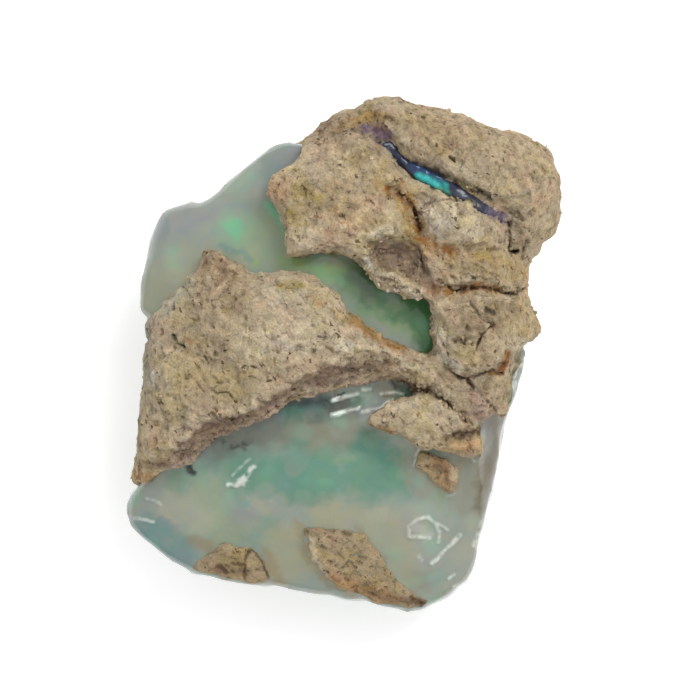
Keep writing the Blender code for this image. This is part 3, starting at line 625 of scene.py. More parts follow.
# Middle of the broken ledge's face, and cracks that are both cut and stained.
LEDGE = ((-12.6, -7.6), (-11.4, -7.0), (-10.4, -6.2), (-9.6, -5.3), (-7.4, -5.0), (-6.0, -4.3),
         (-4.6, -3.3), (-3.2, -2.5), (-1.4, -1.9), (0.6, -1.4))
STEM = ((5.0, 7.2), (5.3, 6.4), (5.6, 5.6))
NOTCH = ((11.5, 7.4), (11.7, 7.2), (12.1, 7.0))
NOTCH_CRACK = ((11.5, 9.0), (11.55, 8.2), (11.5, 7.4))
EDGE_CRACK = ((12.8, 8.0), (12.6, 7.2), (12.5, 6.6))
KNOB_TOP = ((8.7, 3.5), (9.0, 3.0), (9.4, 2.6))
KNOB_HOLE = ((9.9, 3.0), (10.3, 2.7))
KNOB_CRACK = ((10.3, 1.9), (9.6, 1.3), (9.3, 0.7), (9.1, 0.2))
ARCH_TOP = ((7.9, -1.7), (8.5, -1.9), (9.1, -2.5))
ARCH_RIGHT = ((8.6, -1.8), (9.4, -1.6), (10.2, -1.3), (11.2, -1.5))
RIM_UPPER = ((2.6, 5.1), (3.5, 5.05))
RIM_LOWER = ((3.4, 4.6), (4.4, 4.5))
LEDGE_HAIR = ((-9.3, -4.2), (-8.4, -4.6), (-7.6, -4.7), (-6.6, -4.5))
CROWN_NICK = ((11.5, 9.9), (12.0, 9.6), (12.4, 9.2))
WEDGE_CRACK = ((5.7, -2.7), (6.4, -3.0), (7.0, -3.3), (7.6, -3.9), (8.2, -4.4), (8.45, -4.9))

# Stains, with painted shade and painted highlights among them, in the order in which they lie: colour,
# strength, half width, and line.
ROCK_STAINS = (
    # broad changes of the rock's own colour
    (FAWN, 0.65, 3.0, ((4.0, 17.0), (7.0, 15.6), (12.0, 14.2), (14.4, 11.4))),
    (FAWN, 0.65, 2.0, ((5.4, 16.0), (6.6, 14.6))),
    (OCHRE, 0.40, 1.4, ((5.8, 15.6), (6.8, 14.4))),
    (UMBER, 0.60, 1.8, ((-1.6, 15.6), (0.2, 16.0), (2.0, 16.6))),
    (MAUVE, 0.55, 1.4, ((0.4, 15.2), (2.0, 15.4))),
    (GREY_TAN, 0.70, 1.2, ((1.4, 17.4), (3.4, 17.6))),
    (SAND, 0.60, 2.4, ((0.8, 12.6), (3.4, 12.0))),
    (OCHRE, 0.30, 2.0, ((-3.4, 10.6), (-0.6, 10.2))),
    (PEACH, 0.40, 1.5, ((-4.8, 12.2), (-4.4, 11.2))),
    (PEACH, 0.35, 2.2, ((-0.6, 8.6), (1.2, 9.6))),
    (FAWN, 0.40, 1.4, ((0.6, 14.2), (2.4, 13.8))),
    (CREAM, 0.40, 1.2, ((-3.6, 7.8), (0.8, 7.2))),
    (MAUVE, 0.50, 1.3, ((2.6, 6.8), (4.6, 6.8), (5.2, 5.8))),
    (UMBER, 0.60, 0.28, ((1.9, 7.9), (3.0, 8.1), (4.6, 8.0), (5.4, 7.4))),
    (MAUVE, 0.80, 1.0, ((5.6, 5.2), (6.4, 4.4))),
    (CREAM, 0.60, 1.6, ((6.8, 9.6), (8.6, 8.6))),
    (OCHRE, 0.40, 1.8, ((7.6, 6.2), (9.8, 6.8))),
    (OCHRE, 0.55, 1.6, ((10.4, 6.0), (12.2, 5.8))),
    (FAWN, 0.60, 2.4, ((9.0, 2.6), (10.8, 2.8))),
    (SAND, 0.50, 2.0, ((8.6, 0.4), (9.8, -0.2))),
    (CHALK, 0.75, 0.60, ((6.6, 1.6), (6.7, 0.2), (7.1, -0.6), (7.9, -1.1))),
    (OCHRE, 0.45, 1.2, ((12.4, 3.4), (12.8, 1.6))),
    (UMBER, 0.70, 2.0, ((-9.6, 6.8), (-8.4, 5.4), (-7.4, 4.2))),
    (FAWN, 0.45, 3.6, ((-9.4, 2.4), (-8.8, -2.0))),
    (SAND, 0.50, 2.4, ((-12.4, 2.6), (-10.6, 4.0))),
    (MILK, 0.35, 1.6, ((-13.6, 3.0), (-12.4, 3.6), (-11.4, 4.6))),
    (CREAM, 0.50, 2.4, ((-6.2, 0.4), (-3.6, 0.8))),
    (CREAM, 0.35, 3.0, ((-4.8, 3.6), (0.0, 1.4))),
    (GREY_TAN, 0.70, 1.4, ((-13.4, 1.2), (-13.8, -3.4))),
    (SAND, 0.35, 2.0, ((-6.8, -2.2), (-4.8, -1.6))),
    (FAWN, 0.45, 1.4, ((-13.6, -6.6), (-12.2, -6.9))),
    (PEACH, 0.70, 1.2, ((-14.4, -8.8), (-13.8, -9.6))),
    (FAWN, 0.55, 1.3, ((8.6, -3.4), (9.8, -2.6))),
    (OCHRE, 0.55, 1.1, ((7.0, -6.6), (9.4, -6.3))),
    (PEACH, 0.40, 0.9, ((8.0, -6.6), (9.4, -6.5))),
    (FAWN, 0.50, 1.0, ((10.6, -3.4), (11.4, -2.0))),
    # dark face of the broken ledge, and the paler bed along its foot
    (MAUVE, 0.55, 0.95, LEDGE),
    (MAUVE, 0.30, 0.80, ((0.6, -1.4), (2.6, -1.4), (4.4, -1.7), (6.0, -2.1))),
    (UMBER, 0.60, 0.40, ((-14.4, -7.8), (-13.2, -8.0), (-12.0, -7.7), (-11.0, -7.0),
                         (-10.2, -5.7), (-9.4, -5.0), (-8.0, -4.8), (-6.6, -4.4))),
    (UMBER, 0.50, 0.45, ((-4.8, -3.1), (-3.4, -2.2), (-2.0, -1.5), (-0.6, -0.9), (0.8, -0.4),
                         (2.2, -0.3), (3.2, -0.8), (4.4, -1.2))),
    (LIP, 0.85, 0.38, ((-12.2, -8.1), (-11.0, -7.6), (-9.6, -6.7), (-8.6, -6.1), (-7.4, -5.6),
                       (-6.0, -4.6), (-5.0, -3.9), (-4.0, -3.5), (-3.0, -3.2), (-1.2, -2.9),
                       (0.6, -2.3), (2.6, -2.0))),
    # painted shade in the hollow above the glassy tongue
    (CREVICE_SHADE, 0.95, 0.60, ((4.2, -2.2), (4.9, -2.5), (5.5, -2.6))),
    (BARK, 0.80, 0.70, ((2.8, -2.2), (4.0, -2.2), (5.6, -2.6), (6.4, -2.9))),
    (LIP, 0.80, 0.75, ((9.1, -2.9), (9.4, -4.4))),
    (UMBER, 0.65, 0.9, ((-0.9, 15.9), (0.6, 16.3), (1.8, 16.9))),
    (OCHRE, 0.70, 0.6, ((0.2, 16.0), (1.2, 16.2), (2.2, 16.5))),
    # iron stains
    (OCHRE, 0.85, 1.15, ((2.6, 11.7), (4.0, 11.0), (4.6, 9.8), (4.9, 8.6), (5.6, 7.6))),
    (FLAME, 0.95, 0.50, ((3.0, 11.4), (4.0, 10.9), (4.6, 10.3), (4.9, 9.6), (5.05, 8.8),
                         (5.3, 8.0))),
    (RUST, 0.80, 1.0, ((5.6, 7.6), (6.6, 7.2), (7.2, 7.0))),
    (FLAME, 0.75, 0.40, ((5.4, 7.8), (6.4, 7.4), (7.4, 7.0))),
    (FLAME, 0.95, 0.46, ((7.0, 4.2), (7.8, 4.0), (8.4, 4.4), (9.4, 4.6), (10.6, 4.4))),
    (RUST, 0.60, 0.60, ((5.8, 4.4), (7.0, 4.2), (7.6, 4.0))),
    (FLAME, 0.95, 0.60, ((0.6, 2.3), (1.2, 1.8), (2.1, 1.2), (3.1, 0.7), (4.0, 0.3))),
    (OCHRE, 0.65, 0.75, ((0.4, 2.6), (1.8, 1.6), (3.6, 0.7))),
    (FLAME, 0.95, 0.42, ((11.4, 0.0), (11.3, -0.8), (10.9, -1.4), (10.3, -1.5))),
    (OCHRE, 0.75, 0.55, ((1.0, 16.3), (2.4, 16.6), (3.0, 16.5))),
    (OLIVE, 0.75, 0.50, ((-4.5, 4.7), (-3.8, 4.6), (-3.1, 4.7))),
    (OLIVE, 0.60, 0.85, ((-3.2, 10.9), (-1.8, 10.7))),
    (OLIVE, 0.55, 0.60, ((-3.8, 9.8), (-3.4, 9.4))),
    (OLIVE, 0.60, 0.60, ((-13.2, -6.7), (-12.5, -6.7))),
    (OLIVE, 0.45, 0.60, ((-0.8, 2.7), (0.2, 2.1))),
    (OLIVE, 0.45, 0.60, ((9.2, 6.7), (9.8, 6.7))),
    (RUST, 0.55, 0.35, ((-11.0, 0.9), (-10.7, 0.6))),
    (RUST, 0.45, 0.50, ((-2.2, 3.8), (-1.6, 3.4))),
    (RUST, 0.60, 0.30, ((1.2, -4.9), (2.2, -5.3), (3.2, -5.5))),
    (FAWN, 0.55, 0.80, ((-8.6, 7.0), (-9.2, 5.8), (-9.8, 5.0))),
    # painted light on the boulder's left side, against the shade that falls there
    (CHALK, 0.75, 0.70, ((5.7, 10.1), (6.0, 9.4), (6.3, 8.6))),
    (SAND, 0.60, 0.50, ((1.4, -1.5), (2.6, -1.4), (3.4, -1.6))),
    (FAWN, 0.40, 1.6, ((0.4, 14.4), (1.6, 13.8))),
    (FAWN, 0.75, 1.4, ((5.4, 15.4), (6.6, 14.8))),
    (UMBER, 0.50, 1.4, ((8.4, 2.2), (9.8, 1.8), (11.2, 3.0))),
    (FAWN, 0.50, 0.9, ((5.8, 7.0), (6.4, 6.8))),
    (MOULD, 0.90, 0.55, ((12.6, 0.1), (12.3, -1.0), (12.0, -2.4), (11.7, -3.4))),
    # pale chips and the toothed rim of the window
    (CHALK, 0.80, 0.26, ((1.5, 6.7), (1.6, 6.1), (2.0, 5.9))),
    (CHALK, 0.80, 0.24, ((1.9, 5.3), (2.4, 4.6), (2.9, 4.2), (3.8, 4.3))),
    (CHALK, 0.80, 0.24, ((4.2, 4.6), (4.7, 4.1), (5.0, 3.6))),
    (CREAM, 0.85, 0.26, ((5.4, 4.3), (6.0, 3.1), (6.3, 2.0))),
    (BARK, 0.75, 0.22, ((2.9, 5.1), (3.4, 5.0), (4.0, 4.7))),
    (BARK, 0.60, 0.20, ((5.0, 4.3), (5.2, 3.9))),
    (ASH, 0.75, 0.55, ((-13.9, 2.6), (-13.9, 0.0), (-13.9, -2.8))),
    # painted highlight on the grey strip at the left edge
    (PAINTED_GLINT, 0.60, 0.22, ((-13.4, -1.4), (-13.3, -2.2))),
    (ASH, 0.85, 0.45, ((9.6, -5.1), (10.2, -5.1), (10.9, -4.9))),
    (CHALK, 0.70, 0.50, ((-4.5, 0.8), (-4.0, 0.5))),
    (CHALK, 0.65, 0.45, ((-0.4, 0.4), (0.6, 0.4))),
    (CHALK, 0.50, 0.55, ((-6.0, -0.2), (-5.6, 0.0))),
    (CHALK, 0.60, 0.60, ((6.4, 9.3), (7.0, 9.1))),
    (CHALK, 0.60, 0.50, ((1.6, 8.0), (2.6, 8.4), (3.6, 8.3))),
    (CHALK, 0.75, 0.30, ((1.4, 6.4), (1.7, 6.1))),
    (CHALK, 0.60, 0.30, ((12.6, 0.8), (12.2, 0.2))),
    # painted shade under the crown's overhanging edge, with navy and plum, along the crack that holds
    # the seam
    (PLUM, 0.85, 0.55, ((1.2, 15.6), (2.4, 15.3), (3.0, 15.2))),
    (NAVY, 0.90, 0.50, ((2.5, 14.8), (3.0, 14.4), (3.5, 14.0))),
    (NAVY, 0.90, 0.42, ((3.6, 13.6), (4.4, 13.1), (5.2, 12.9), (6.2, 12.5), (7.0, 12.0))),
    (CREVICE_SHADE, 0.65, 0.55, ((4.6, 13.2), (6.0, 12.8), (7.2, 12.2), (8.2, 11.5))),
    (BLUE_GREY, 0.90, 0.48, ((7.2, 11.5), (8.4, 10.9), (9.7, 10.1), (10.4, 9.7))),
    (CREVICE_SHADE, 0.70, 0.24, ((7.4, 11.2), (8.4, 10.6), (9.4, 10.0))),
    (PLUM, 0.85, 0.60, ((9.6, 9.9), (10.6, 9.5), (11.2, 9.3))),
    (CREVICE_SHADE, 0.60, 0.26, ((9.0, 11.3), (9.6, 11.1), (10.2, 10.7))),
    (CREVICE_SHADE, 0.60, 0.26, CROWN_NICK),
    # dark cracks, with painted shade in the notch, the knob's hole and the deepest cracks
    (BARK, 0.80, 0.22, ((3.8, 11.1), (4.4, 10.5), (4.9, 10.0), (5.1, 9.2), (5.4, 8.3))),
    (BARK, 0.60, 0.26, STEM),
    (BARK, 0.80, 0.15, ((7.9, 4.25), (8.6, 4.45), (9.2, 4.45))),
    (BARK, 0.85, 0.18, ((7.2, 4.6), (7.6, 4.2), (8.4, 4.4), (9.8, 4.5), (10.7, 4.3),
                        (11.4, 4.05), (12.1, 4.1), (12.5, 4.4))),
    (CREVICE_SHADE, 0.95, 0.30, NOTCH),
    (BARK, 0.80, 0.17, NOTCH_CRACK),
    (BARK, 0.65, 0.18, EDGE_CRACK),
    (BARK, 0.60, 0.16, ((5.8, 10.3), (6.5, 10.55), (7.3, 10.6), (8.0, 10.45))),
    (CREVICE_SHADE, 0.80, 0.20, ((5.6, 10.25), (5.8, 10.2))),
    (BARK, 0.80, 0.20, KNOB_TOP),
    (CREVICE_SHADE, 0.75, 0.32, KNOB_HOLE),
    (BARK, 0.75, 0.16, KNOB_CRACK),
    (BARK, 0.75, 0.28, ((7.8, 0.8), (8.3, 0.6), (8.5, 1.0))),
    (BARK, 0.70, 0.16, ((8.4, 1.2), (8.5, 1.8))),
    (CREVICE_SHADE, 0.75, 0.20, ARCH_TOP),
    (BARK, 0.70, 0.17, ARCH_RIGHT),
    (BARK, 0.65, 0.17, ((6.9, -0.9), (7.6, -1.5))),
    (BARK, 0.70, 0.22, RIM_UPPER),
    (BARK, 0.70, 0.20, RIM_LOWER),
    (BARK, 0.75, 0.22, ((6.3, 5.05), (6.9, 4.9))),
    (BARK, 0.50, 0.20, ((7.0, 5.2), (7.4, 4.6))),
    (BARK, 0.80, 0.20, WEDGE_CRACK),
    (UMBER, 0.85, 0.60, ((7.2, -5.9), (8.6, -5.6), (9.6, -5.5))),
    (BARK, 0.60, 0.55, ((7.8, -5.8), (8.8, -5.6), (9.7, -5.5))),
    (BARK, 0.65, 0.16, LEDGE_HAIR),
    (BARK, 0.75, 0.30, ((2.9, 16.5), (3.4, 16.2))),
    (BARK, 0.45, 0.30, ((3.4, 17.9), (4.4, 17.7))),
    (BARK, 0.60, 0.20, ((2.0, -0.2), (2.6, -0.3), (3.0, -0.6))),
    (BARK, 0.60, 0.28, ((0.0, -1.1), (0.7, -1.3))),
    (BARK, 0.50, 0.25, ((3.9, -1.1), (4.3, -1.5))),
    (BARK, 0.65, 0.26, ((-14.5, -4.4), (-14.6, -6.8))),
)

# Cracks and chips in the rock, painted darker the deeper they cut: depth, half width, and line.
ROCK_CRACKS = (
    (0.27, 0.17, ((3.6, 11.3), (4.2, 10.8), (4.7, 10.2), (5.0, 9.5), (5.15, 8.8), (5.4, 8.2))),
    (0.26, 0.14, STEM),
    (0.27, 0.14, ((7.2, 4.5), (7.6, 4.15), (8.3, 4.4), (9.0, 4.5), (9.8, 4.45), (10.6, 4.3),
                  (11.3, 4.1), (12.0, 4.05), (12.6, 4.4))),
    (0.28, 0.11, NOTCH_CRACK),
    (0.70, 0.24, NOTCH),
    (0.21, 0.11, EDGE_CRACK),
    (0.21, 0.11, ((5.8, 10.3), (6.5, 10.55), (7.3, 10.6), (8.2, 10.4))),
    (0.26, 0.12, KNOB_TOP),
    (0.30, 0.17, KNOB_HOLE),
    (0.26, 0.11, KNOB_CRACK),
    (0.26, 0.16, ((7.8, 0.9), (8.3, 0.6), (8.5, 1.2), (8.5, 1.8))),
    (0.34, 0.14, ARCH_TOP),
    (0.30, 0.12, ARCH_RIGHT),
    (0.26, 0.12, ((6.9, -0.9), (7.6, -1.5), (8.0, -1.8))),
    (0.30, 0.13, ((8.0, 11.7), (9.0, 11.3), (9.6, 11.1), (10.2, 10.6))),
    (0.26, 0.12, CROWN_NICK),
    (0.26, 0.12, RIM_UPPER),
    (0.26, 0.12, RIM_LOWER),
    (0.34, 0.14, WEDGE_CRACK),
    (0.15, 0.17, ((7.2, -5.9), (8.6, -5.7), (9.6, -5.6))),
    (0.21, 0.11, LEDGE_HAIR),
    (0.60, 0.13, ((-12.0, 1.1), (-11.7, 0.6), (-11.3, 0.35))),
    (0.60, 0.12, ((7.3, 13.6), (7.7, 13.1))),
    (0.30, 0.14, ((-11.4, -4.5), (-11.0, -4.9))),
    (0.34, 0.12, ((-7.95, -2.9), (-7.75, -3.3))),
    (0.30, 0.10, ((-9.8, 0.9), (-9.55, 0.4))),
    (0.30, 0.10, ((-1.85, 1.1), (-1.35, 1.0))),
    (0.22, 0.12, ((9.2, -2.4), (10.0, -3.0), (10.9, -4.5))),
    (0.24, 0.34, ((7.4, 11.4), (8.6, 10.8), (9.8, 10.0))),
)
PLATE_NICKS = (
    ((-9.75, -0.3), (-9.5, -0.75)),
    ((-8.4, 0.8), (-8.1, 0.8)),
    ((-9.05, 0.1), (-8.9, -0.1)),
    ((-8.35, 0.1), (-8.25, 0.1)),
    ((-7.0, -0.9), (-6.2, -1.1)),
    ((-6.6, -1.7), (-6.4, -1.7)),
    ((-5.4, -2.0), (-5.1, -2.0)),
    ((-9.3, -2.6), (-9.0, -2.8), (-8.1, -2.8)),
    ((-8.8, -2.1), (-8.6, -2.2)),
    ((-2.2, 0.15), (-2.0, 0.15)),
    ((-6.65, -0.2), (-6.55, -0.3)),
)
ROCK_CRACKS += tuple((0.26, 0.10, nick) for nick in PLATE_NICKS)

# Crests and broken edges of beds, which also get a painted highlight: height, half width, and line.
ROCK_CRESTS = (
    (0.28, 0.55, ((-13.6, -7.0), (-12.0, -6.6), (-10.7, -5.4), (-9.7, -4.5), (-7.6, -4.3),
                  (-6.0, -3.4), (-4.6, -2.5), (-3.2, -1.7), (-1.6, -1.0), (0.4, -0.4),
                  (2.4, -0.4))),
    (0.30, 0.45, ((0.2, 0.6), (2.0, 0.3), (3.4, -0.3), (4.8, -1.0), (6.0, -1.9), (7.2, -2.8))),
    (0.24, 0.40, ((2.0, -1.0), (3.6, -1.2), (4.8, -1.8), (6.2, -2.4), (7.6, -3.4))),
    (0.30, 0.50, ((2.6, -4.0), (4.2, -3.7), (5.4, -3.4), (6.3, -3.6), (7.0, -4.1), (8.0, -4.9))),
    (0.20, 0.40, ((8.4, -1.3), (9.4, -1.1), (10.4, -0.8), (11.0, -0.2))),
    (0.18, 0.45, ((5.4, 9.9), (5.9, 10.5), (7.2, 10.9), (8.8, 10.3), (9.8, 9.4))),
    (0.22, 0.40, ((5.6, 8.2), (6.6, 7.6), (8.0, 7.5), (9.4, 7.9), (10.6, 7.4))),
    (0.22, 0.40, ((7.0, 4.9), (8.4, 4.9), (9.8, 5.0), (11.2, 4.6))),
    (0.24, 0.40, ((7.2, 3.7), (8.6, 3.9), (10.0, 3.9), (11.6, 3.6))),
    (0.26, 0.35, ((1.3, 6.9), (1.9, 5.9), (2.5, 5.3), (3.4, 5.2), (4.2, 4.7), (5.0, 4.1),
                  (5.8, 2.9))),
    (0.20, 0.45, ((-2.4, 9.4), (-0.8, 8.6), (1.0, 8.2), (2.6, 8.4), (4.4, 8.0))),
    (0.20, 0.45, ((0.2, 14.4), (1.4, 13.6), (2.6, 12.6), (3.4, 11.8))),
    (0.24, 0.50, ((3.2, 15.6), (4.4, 14.6), (6.0, 13.8), (7.6, 12.8), (9.4, 11.8), (11.2, 10.8))),
    (0.18, 0.50, ((-0.6, 16.2), (1.0, 16.9), (2.6, 17.0), (3.6, 16.4))),
)

# Sunk and broken places with a clear outline: depth, colour, strength, and outline.
ROCK_HOLLOWS = (
    (0.32, MAUVE, 0.60, ((1.8, 7.6), (5.1, 7.6), (5.5, 7.0), (5.7, 5.8), (6.4, 4.2), (5.1, 4.7),
                         (3.8, 5.6), (2.0, 6.0), (1.7, 6.8))),
    (0.00, MAUVE, 0.50, ((-14.1, -7.6), (-11.4, -7.0), (-10.5, -5.8), (-10.1, -4.9), (-8.0, -4.7),
                         (-6.8, -4.4), (-4.6, -3.0), (-3.0, -2.0), (-1.3, -1.1), (0.8, -0.5),
                         (2.2, -1.0), (1.4, -1.8), (0.3, -2.0), (-2.1, -2.4), (-4.6, -3.4),
                         (-6.2, -4.5), (-7.4, -5.4), (-9.0, -6.1), (-10.3, -7.2), (-11.7, -7.8),
                         (-13.5, -8.3))),
    (0.10, LIP, 0.70, ((8.8, -2.7), (9.4, -2.5), (10.0, -3.1), (10.8, -4.5), (10.2, -5.3),
                       (9.0, -4.8))),
)


def inside(points, outline, softness, seed):
    """1 inside an outline drawn in plan and 0 outside it, with a ragged edge."""
    moved = points[:, :2] + 0.16 * drift(points, 0.6, seed, 5.0, 3)
    corners = np.array(outline + outline[:1], float)
    within = np.zeros(len(points), bool)
    for (ax, ay), (bx, by) in zip(corners, corners[1:]):
        if ay != by:
            crossing = ax + (moved[:, 1] - ay) * (bx - ax) / (by - ay)
            within ^= ((moved[:, 1] < ay) != (moved[:, 1] < by)) & (moved[:, 0] < crossing)
    reach = distance_to(moved, corners) * np.where(within, 1.0, -1.0)
    return fade(0.5 + 0.5 * reach / softness)


def close_gap(piece, neighbour, reach, sink):
    """Brings the skin that faces a neighbour closely down to just inside it."""
    points = points_of(piece)
    facing = normals_of(piece)
    tree = BVHTree.FromObject(neighbour, bpy.context.evaluated_depsgraph_get())
    for i, point in enumerate(points):
        near, _, _, away = tree.find_nearest(Vector(point) * MM, reach * MM)
        if near is None:
            continue
        toward = np.array(near) / MM - point
        away = away / MM
        if away < 1e-4:
            continue
        agrees = float(facing[i] @ toward) / away
        pull = fade((agrees + 0.1) / 0.5) * fade((reach - away) / (0.35 * reach))
        points[i] = point + toward * pull * (1.0 + sink / away)
    put_points(piece, points)


def crack_depth(points, cracks, wander, seed):
    """Depth below the skin that the cracks and chips cut."""
    shift = drift(points, 0.8, seed, 4.0) + 0.6 * drift(points, 0.3, seed, 4.0)
    moved = points.copy()
    moved[:, :2] += shift * wander
    breaks = np.clip(0.75 + 1.1 * lumps(points, 0.7, seed + 7.0), 0.25, 1.2)
    deepest = np.zeros(len(points))
    for depth, half_width, line in cracks:
        share = 1.0 - distance_to(moved, line) / (half_width * breaks)
        deepest = np.maximum(deepest, depth * breaks * np.clip(1.3 * share, 0.0, 1.0))
    return deepest


def thin_rims(piece, neighbour, reach, amount):
    """Lowers the top of a crust to a thin edge where it runs out on its neighbour."""
    points = points_of(piece)
    upward = fade(normals_of(piece)[:, 2] / 0.5)
    tree = BVHTree.FromObject(neighbour, bpy.context.evaluated_depsgraph_get())
    for i in np.nonzero((upward > 0.0) & (points[:, 1] > -1.5))[0]:
        near, _, _, away = tree.find_nearest(Vector(points[i]) * MM, reach * MM)
        if near is not None:
            away = away / MM
            points[i, 2] -= upward[i] * amount * away * fade(1.0 - away / reach)
    put_points(piece, points)


def new_tree(name, result, inputs):
    """An empty geometry tree with named inputs and one result, and what the inputs give."""
    tree = bpy.data.node_groups.new(name, "GeometryNodeTree")
    for label, kind, value in inputs:
        socket = tree.interface.new_socket(label, in_out="INPUT", socket_type="NodeSocket" + kind)
        if value is not None:
            socket.default_value = value
    tree.interface.new_socket(result, in_out="OUTPUT", socket_type="NodeSocketGeometry")
    return tree, add(tree, "NodeGroupInput").outputs


def end_tree(tree, result, shape, finish):
    """Turns what a tree has made into plain mesh with its material, as the tree's result."""
    real = add(tree, "GeometryNodeRealizeInstances", {"Geometry": shape})
    done = add(tree, "GeometryNodeSetMaterial", {"Geometry": real.outputs[0], "Material": finish})
    add(tree, "NodeGroupOutput", {result: done.outputs[0]})


def run_tree(piece, tree, values):
    """Runs a node tree on a piece with the named values and keeps the plain mesh."""
    modifier = piece.modifiers.new(tree.name, "NODES")
    modifier.node_group = tree
    sockets = {item.name: item.identifier for item in tree.interface.items_tree
               if item.in_out == "INPUT"}
    for name, value in values.items():
        modifier[sockets[name]] = value
    apply_modifiers(piece)


def maths(tree, operation, first, second=0.0, third=0.0):
    made = add(tree, "ShaderNodeMath", {0: first, 1: second, 2: third}, operation=operation)
    return made.outputs[0]


def vector_maths(tree, operation, first, second, output=0):
    made = add(tree, "ShaderNodeVectorMath", {0: first, 1: second}, operation=operation)
    return made.outputs[output]


# Gas pits: points strewn over the rock, each of which sinks an oval hollow that is drawn
# out along the rock's bedding.
pit_tree, given = new_tree("Gas pits", "Rock", (
    ("Rock", "Geometry", None), ("Seed", "Int", 1), ("Spacing", "Float", 0.4 * MM),
    ("Pits per area", "Float", 1.0), ("Smallest", "Float", 0.08 * MM),
    ("Largest", "Float", 0.2 * MM), ("Depth", "Float", 0.2 * MM), ("Length", "Float", 1.8),
    ("Bedding", "Vector", BEDDING), ("Finish", "Material", None)))
strewn = add(pit_tree, "GeometryNodeDistributePointsOnFaces", {
    "Mesh": given["Rock"], "Distance Min": given["Spacing"],
    "Density Max": given["Pits per area"], "Seed": given["Seed"]}, distribute_method="POISSON")
size = add(pit_tree, "FunctionNodeRandomValue", {
    2: given["Smallest"], 3: given["Largest"], "Seed": given["Seed"]}, data_type="FLOAT")
sized = add(pit_tree, "GeometryNodeStoreNamedAttribute", {
    "Geometry": strewn.outputs["Points"], "Name": "pit_size", "Value": size.outputs[1]},
    data_type="FLOAT", domain="POINT")
own_place = add(pit_tree, "GeometryNodeInputPosition").outputs[0]
nearest = add(pit_tree, "GeometryNodeSampleNearest", {
    "Geometry": sized.outputs[0], "Sample Position": own_place}, domain="POINT").outputs[0]
centre = add(pit_tree, "GeometryNodeSampleIndex", {
    "Geometry": sized.outputs[0], "Value": own_place, "Index": nearest},
    data_type="FLOAT_VECTOR", domain="POINT").outputs[0]
pit_size = add(pit_tree, "GeometryNodeInputNamedAttribute", {"Name": "pit_size"},
               data_type="FLOAT").outputs[0]
pit_size = add(pit_tree, "GeometryNodeSampleIndex", {
    "Geometry": sized.outputs[0], "Value": pit_size, "Index": nearest},
    data_type="FLOAT", domain="POINT").outputs[0]
offset = vector_maths(pit_tree, "SUBTRACT", own_place, centre)
along = vector_maths(pit_tree, "DOT_PRODUCT", offset, given["Bedding"], output=1)
across = maths(pit_tree, "SQRT", maths(pit_tree, "SUBTRACT", vector_maths(
    pit_tree, "DOT_PRODUCT", offset, offset, output=1), maths(pit_tree, "MULTIPLY", along, along)))
along = maths(pit_tree, "DIVIDE", along, given["Length"])
reach = maths(pit_tree, "SQRT", maths(pit_tree, "ADD", maths(
    pit_tree, "MULTIPLY", along, along), maths(pit_tree, "MULTIPLY", across, across)))
share = maths(pit_tree, "DIVIDE", reach, pit_size)
hollow = ramp(pit_tree, share, 0.45, 1.1, 1.0, 0.0)
relative = maths(pit_tree, "DIVIDE", pit_size, given["Largest"])
sunk = maths(pit_tree, "MULTIPLY", maths(pit_tree, "MULTIPLY", hollow, relative),
             maths(pit_tree, "MULTIPLY", given["Depth"], -1.0))
inward = add(pit_tree, "ShaderNodeVectorMath", {
    0: add(pit_tree, "GeometryNodeInputNormal").outputs[0], 3: sunk}, operation="SCALE")
moved = add(pit_tree, "GeometryNodeSetPosition", {
    "Geometry": given["Rock"], "Offset": inward.outputs[0]})
marked = add(pit_tree, "GeometryNodeStoreNamedAttribute", {
    "Geometry": moved.outputs[0], "Name": "pit", "Value": hollow},
    data_type="FLOAT", domain="POINT")
end_tree(pit_tree, "Rock", marked.outputs[0], given["Finish"])


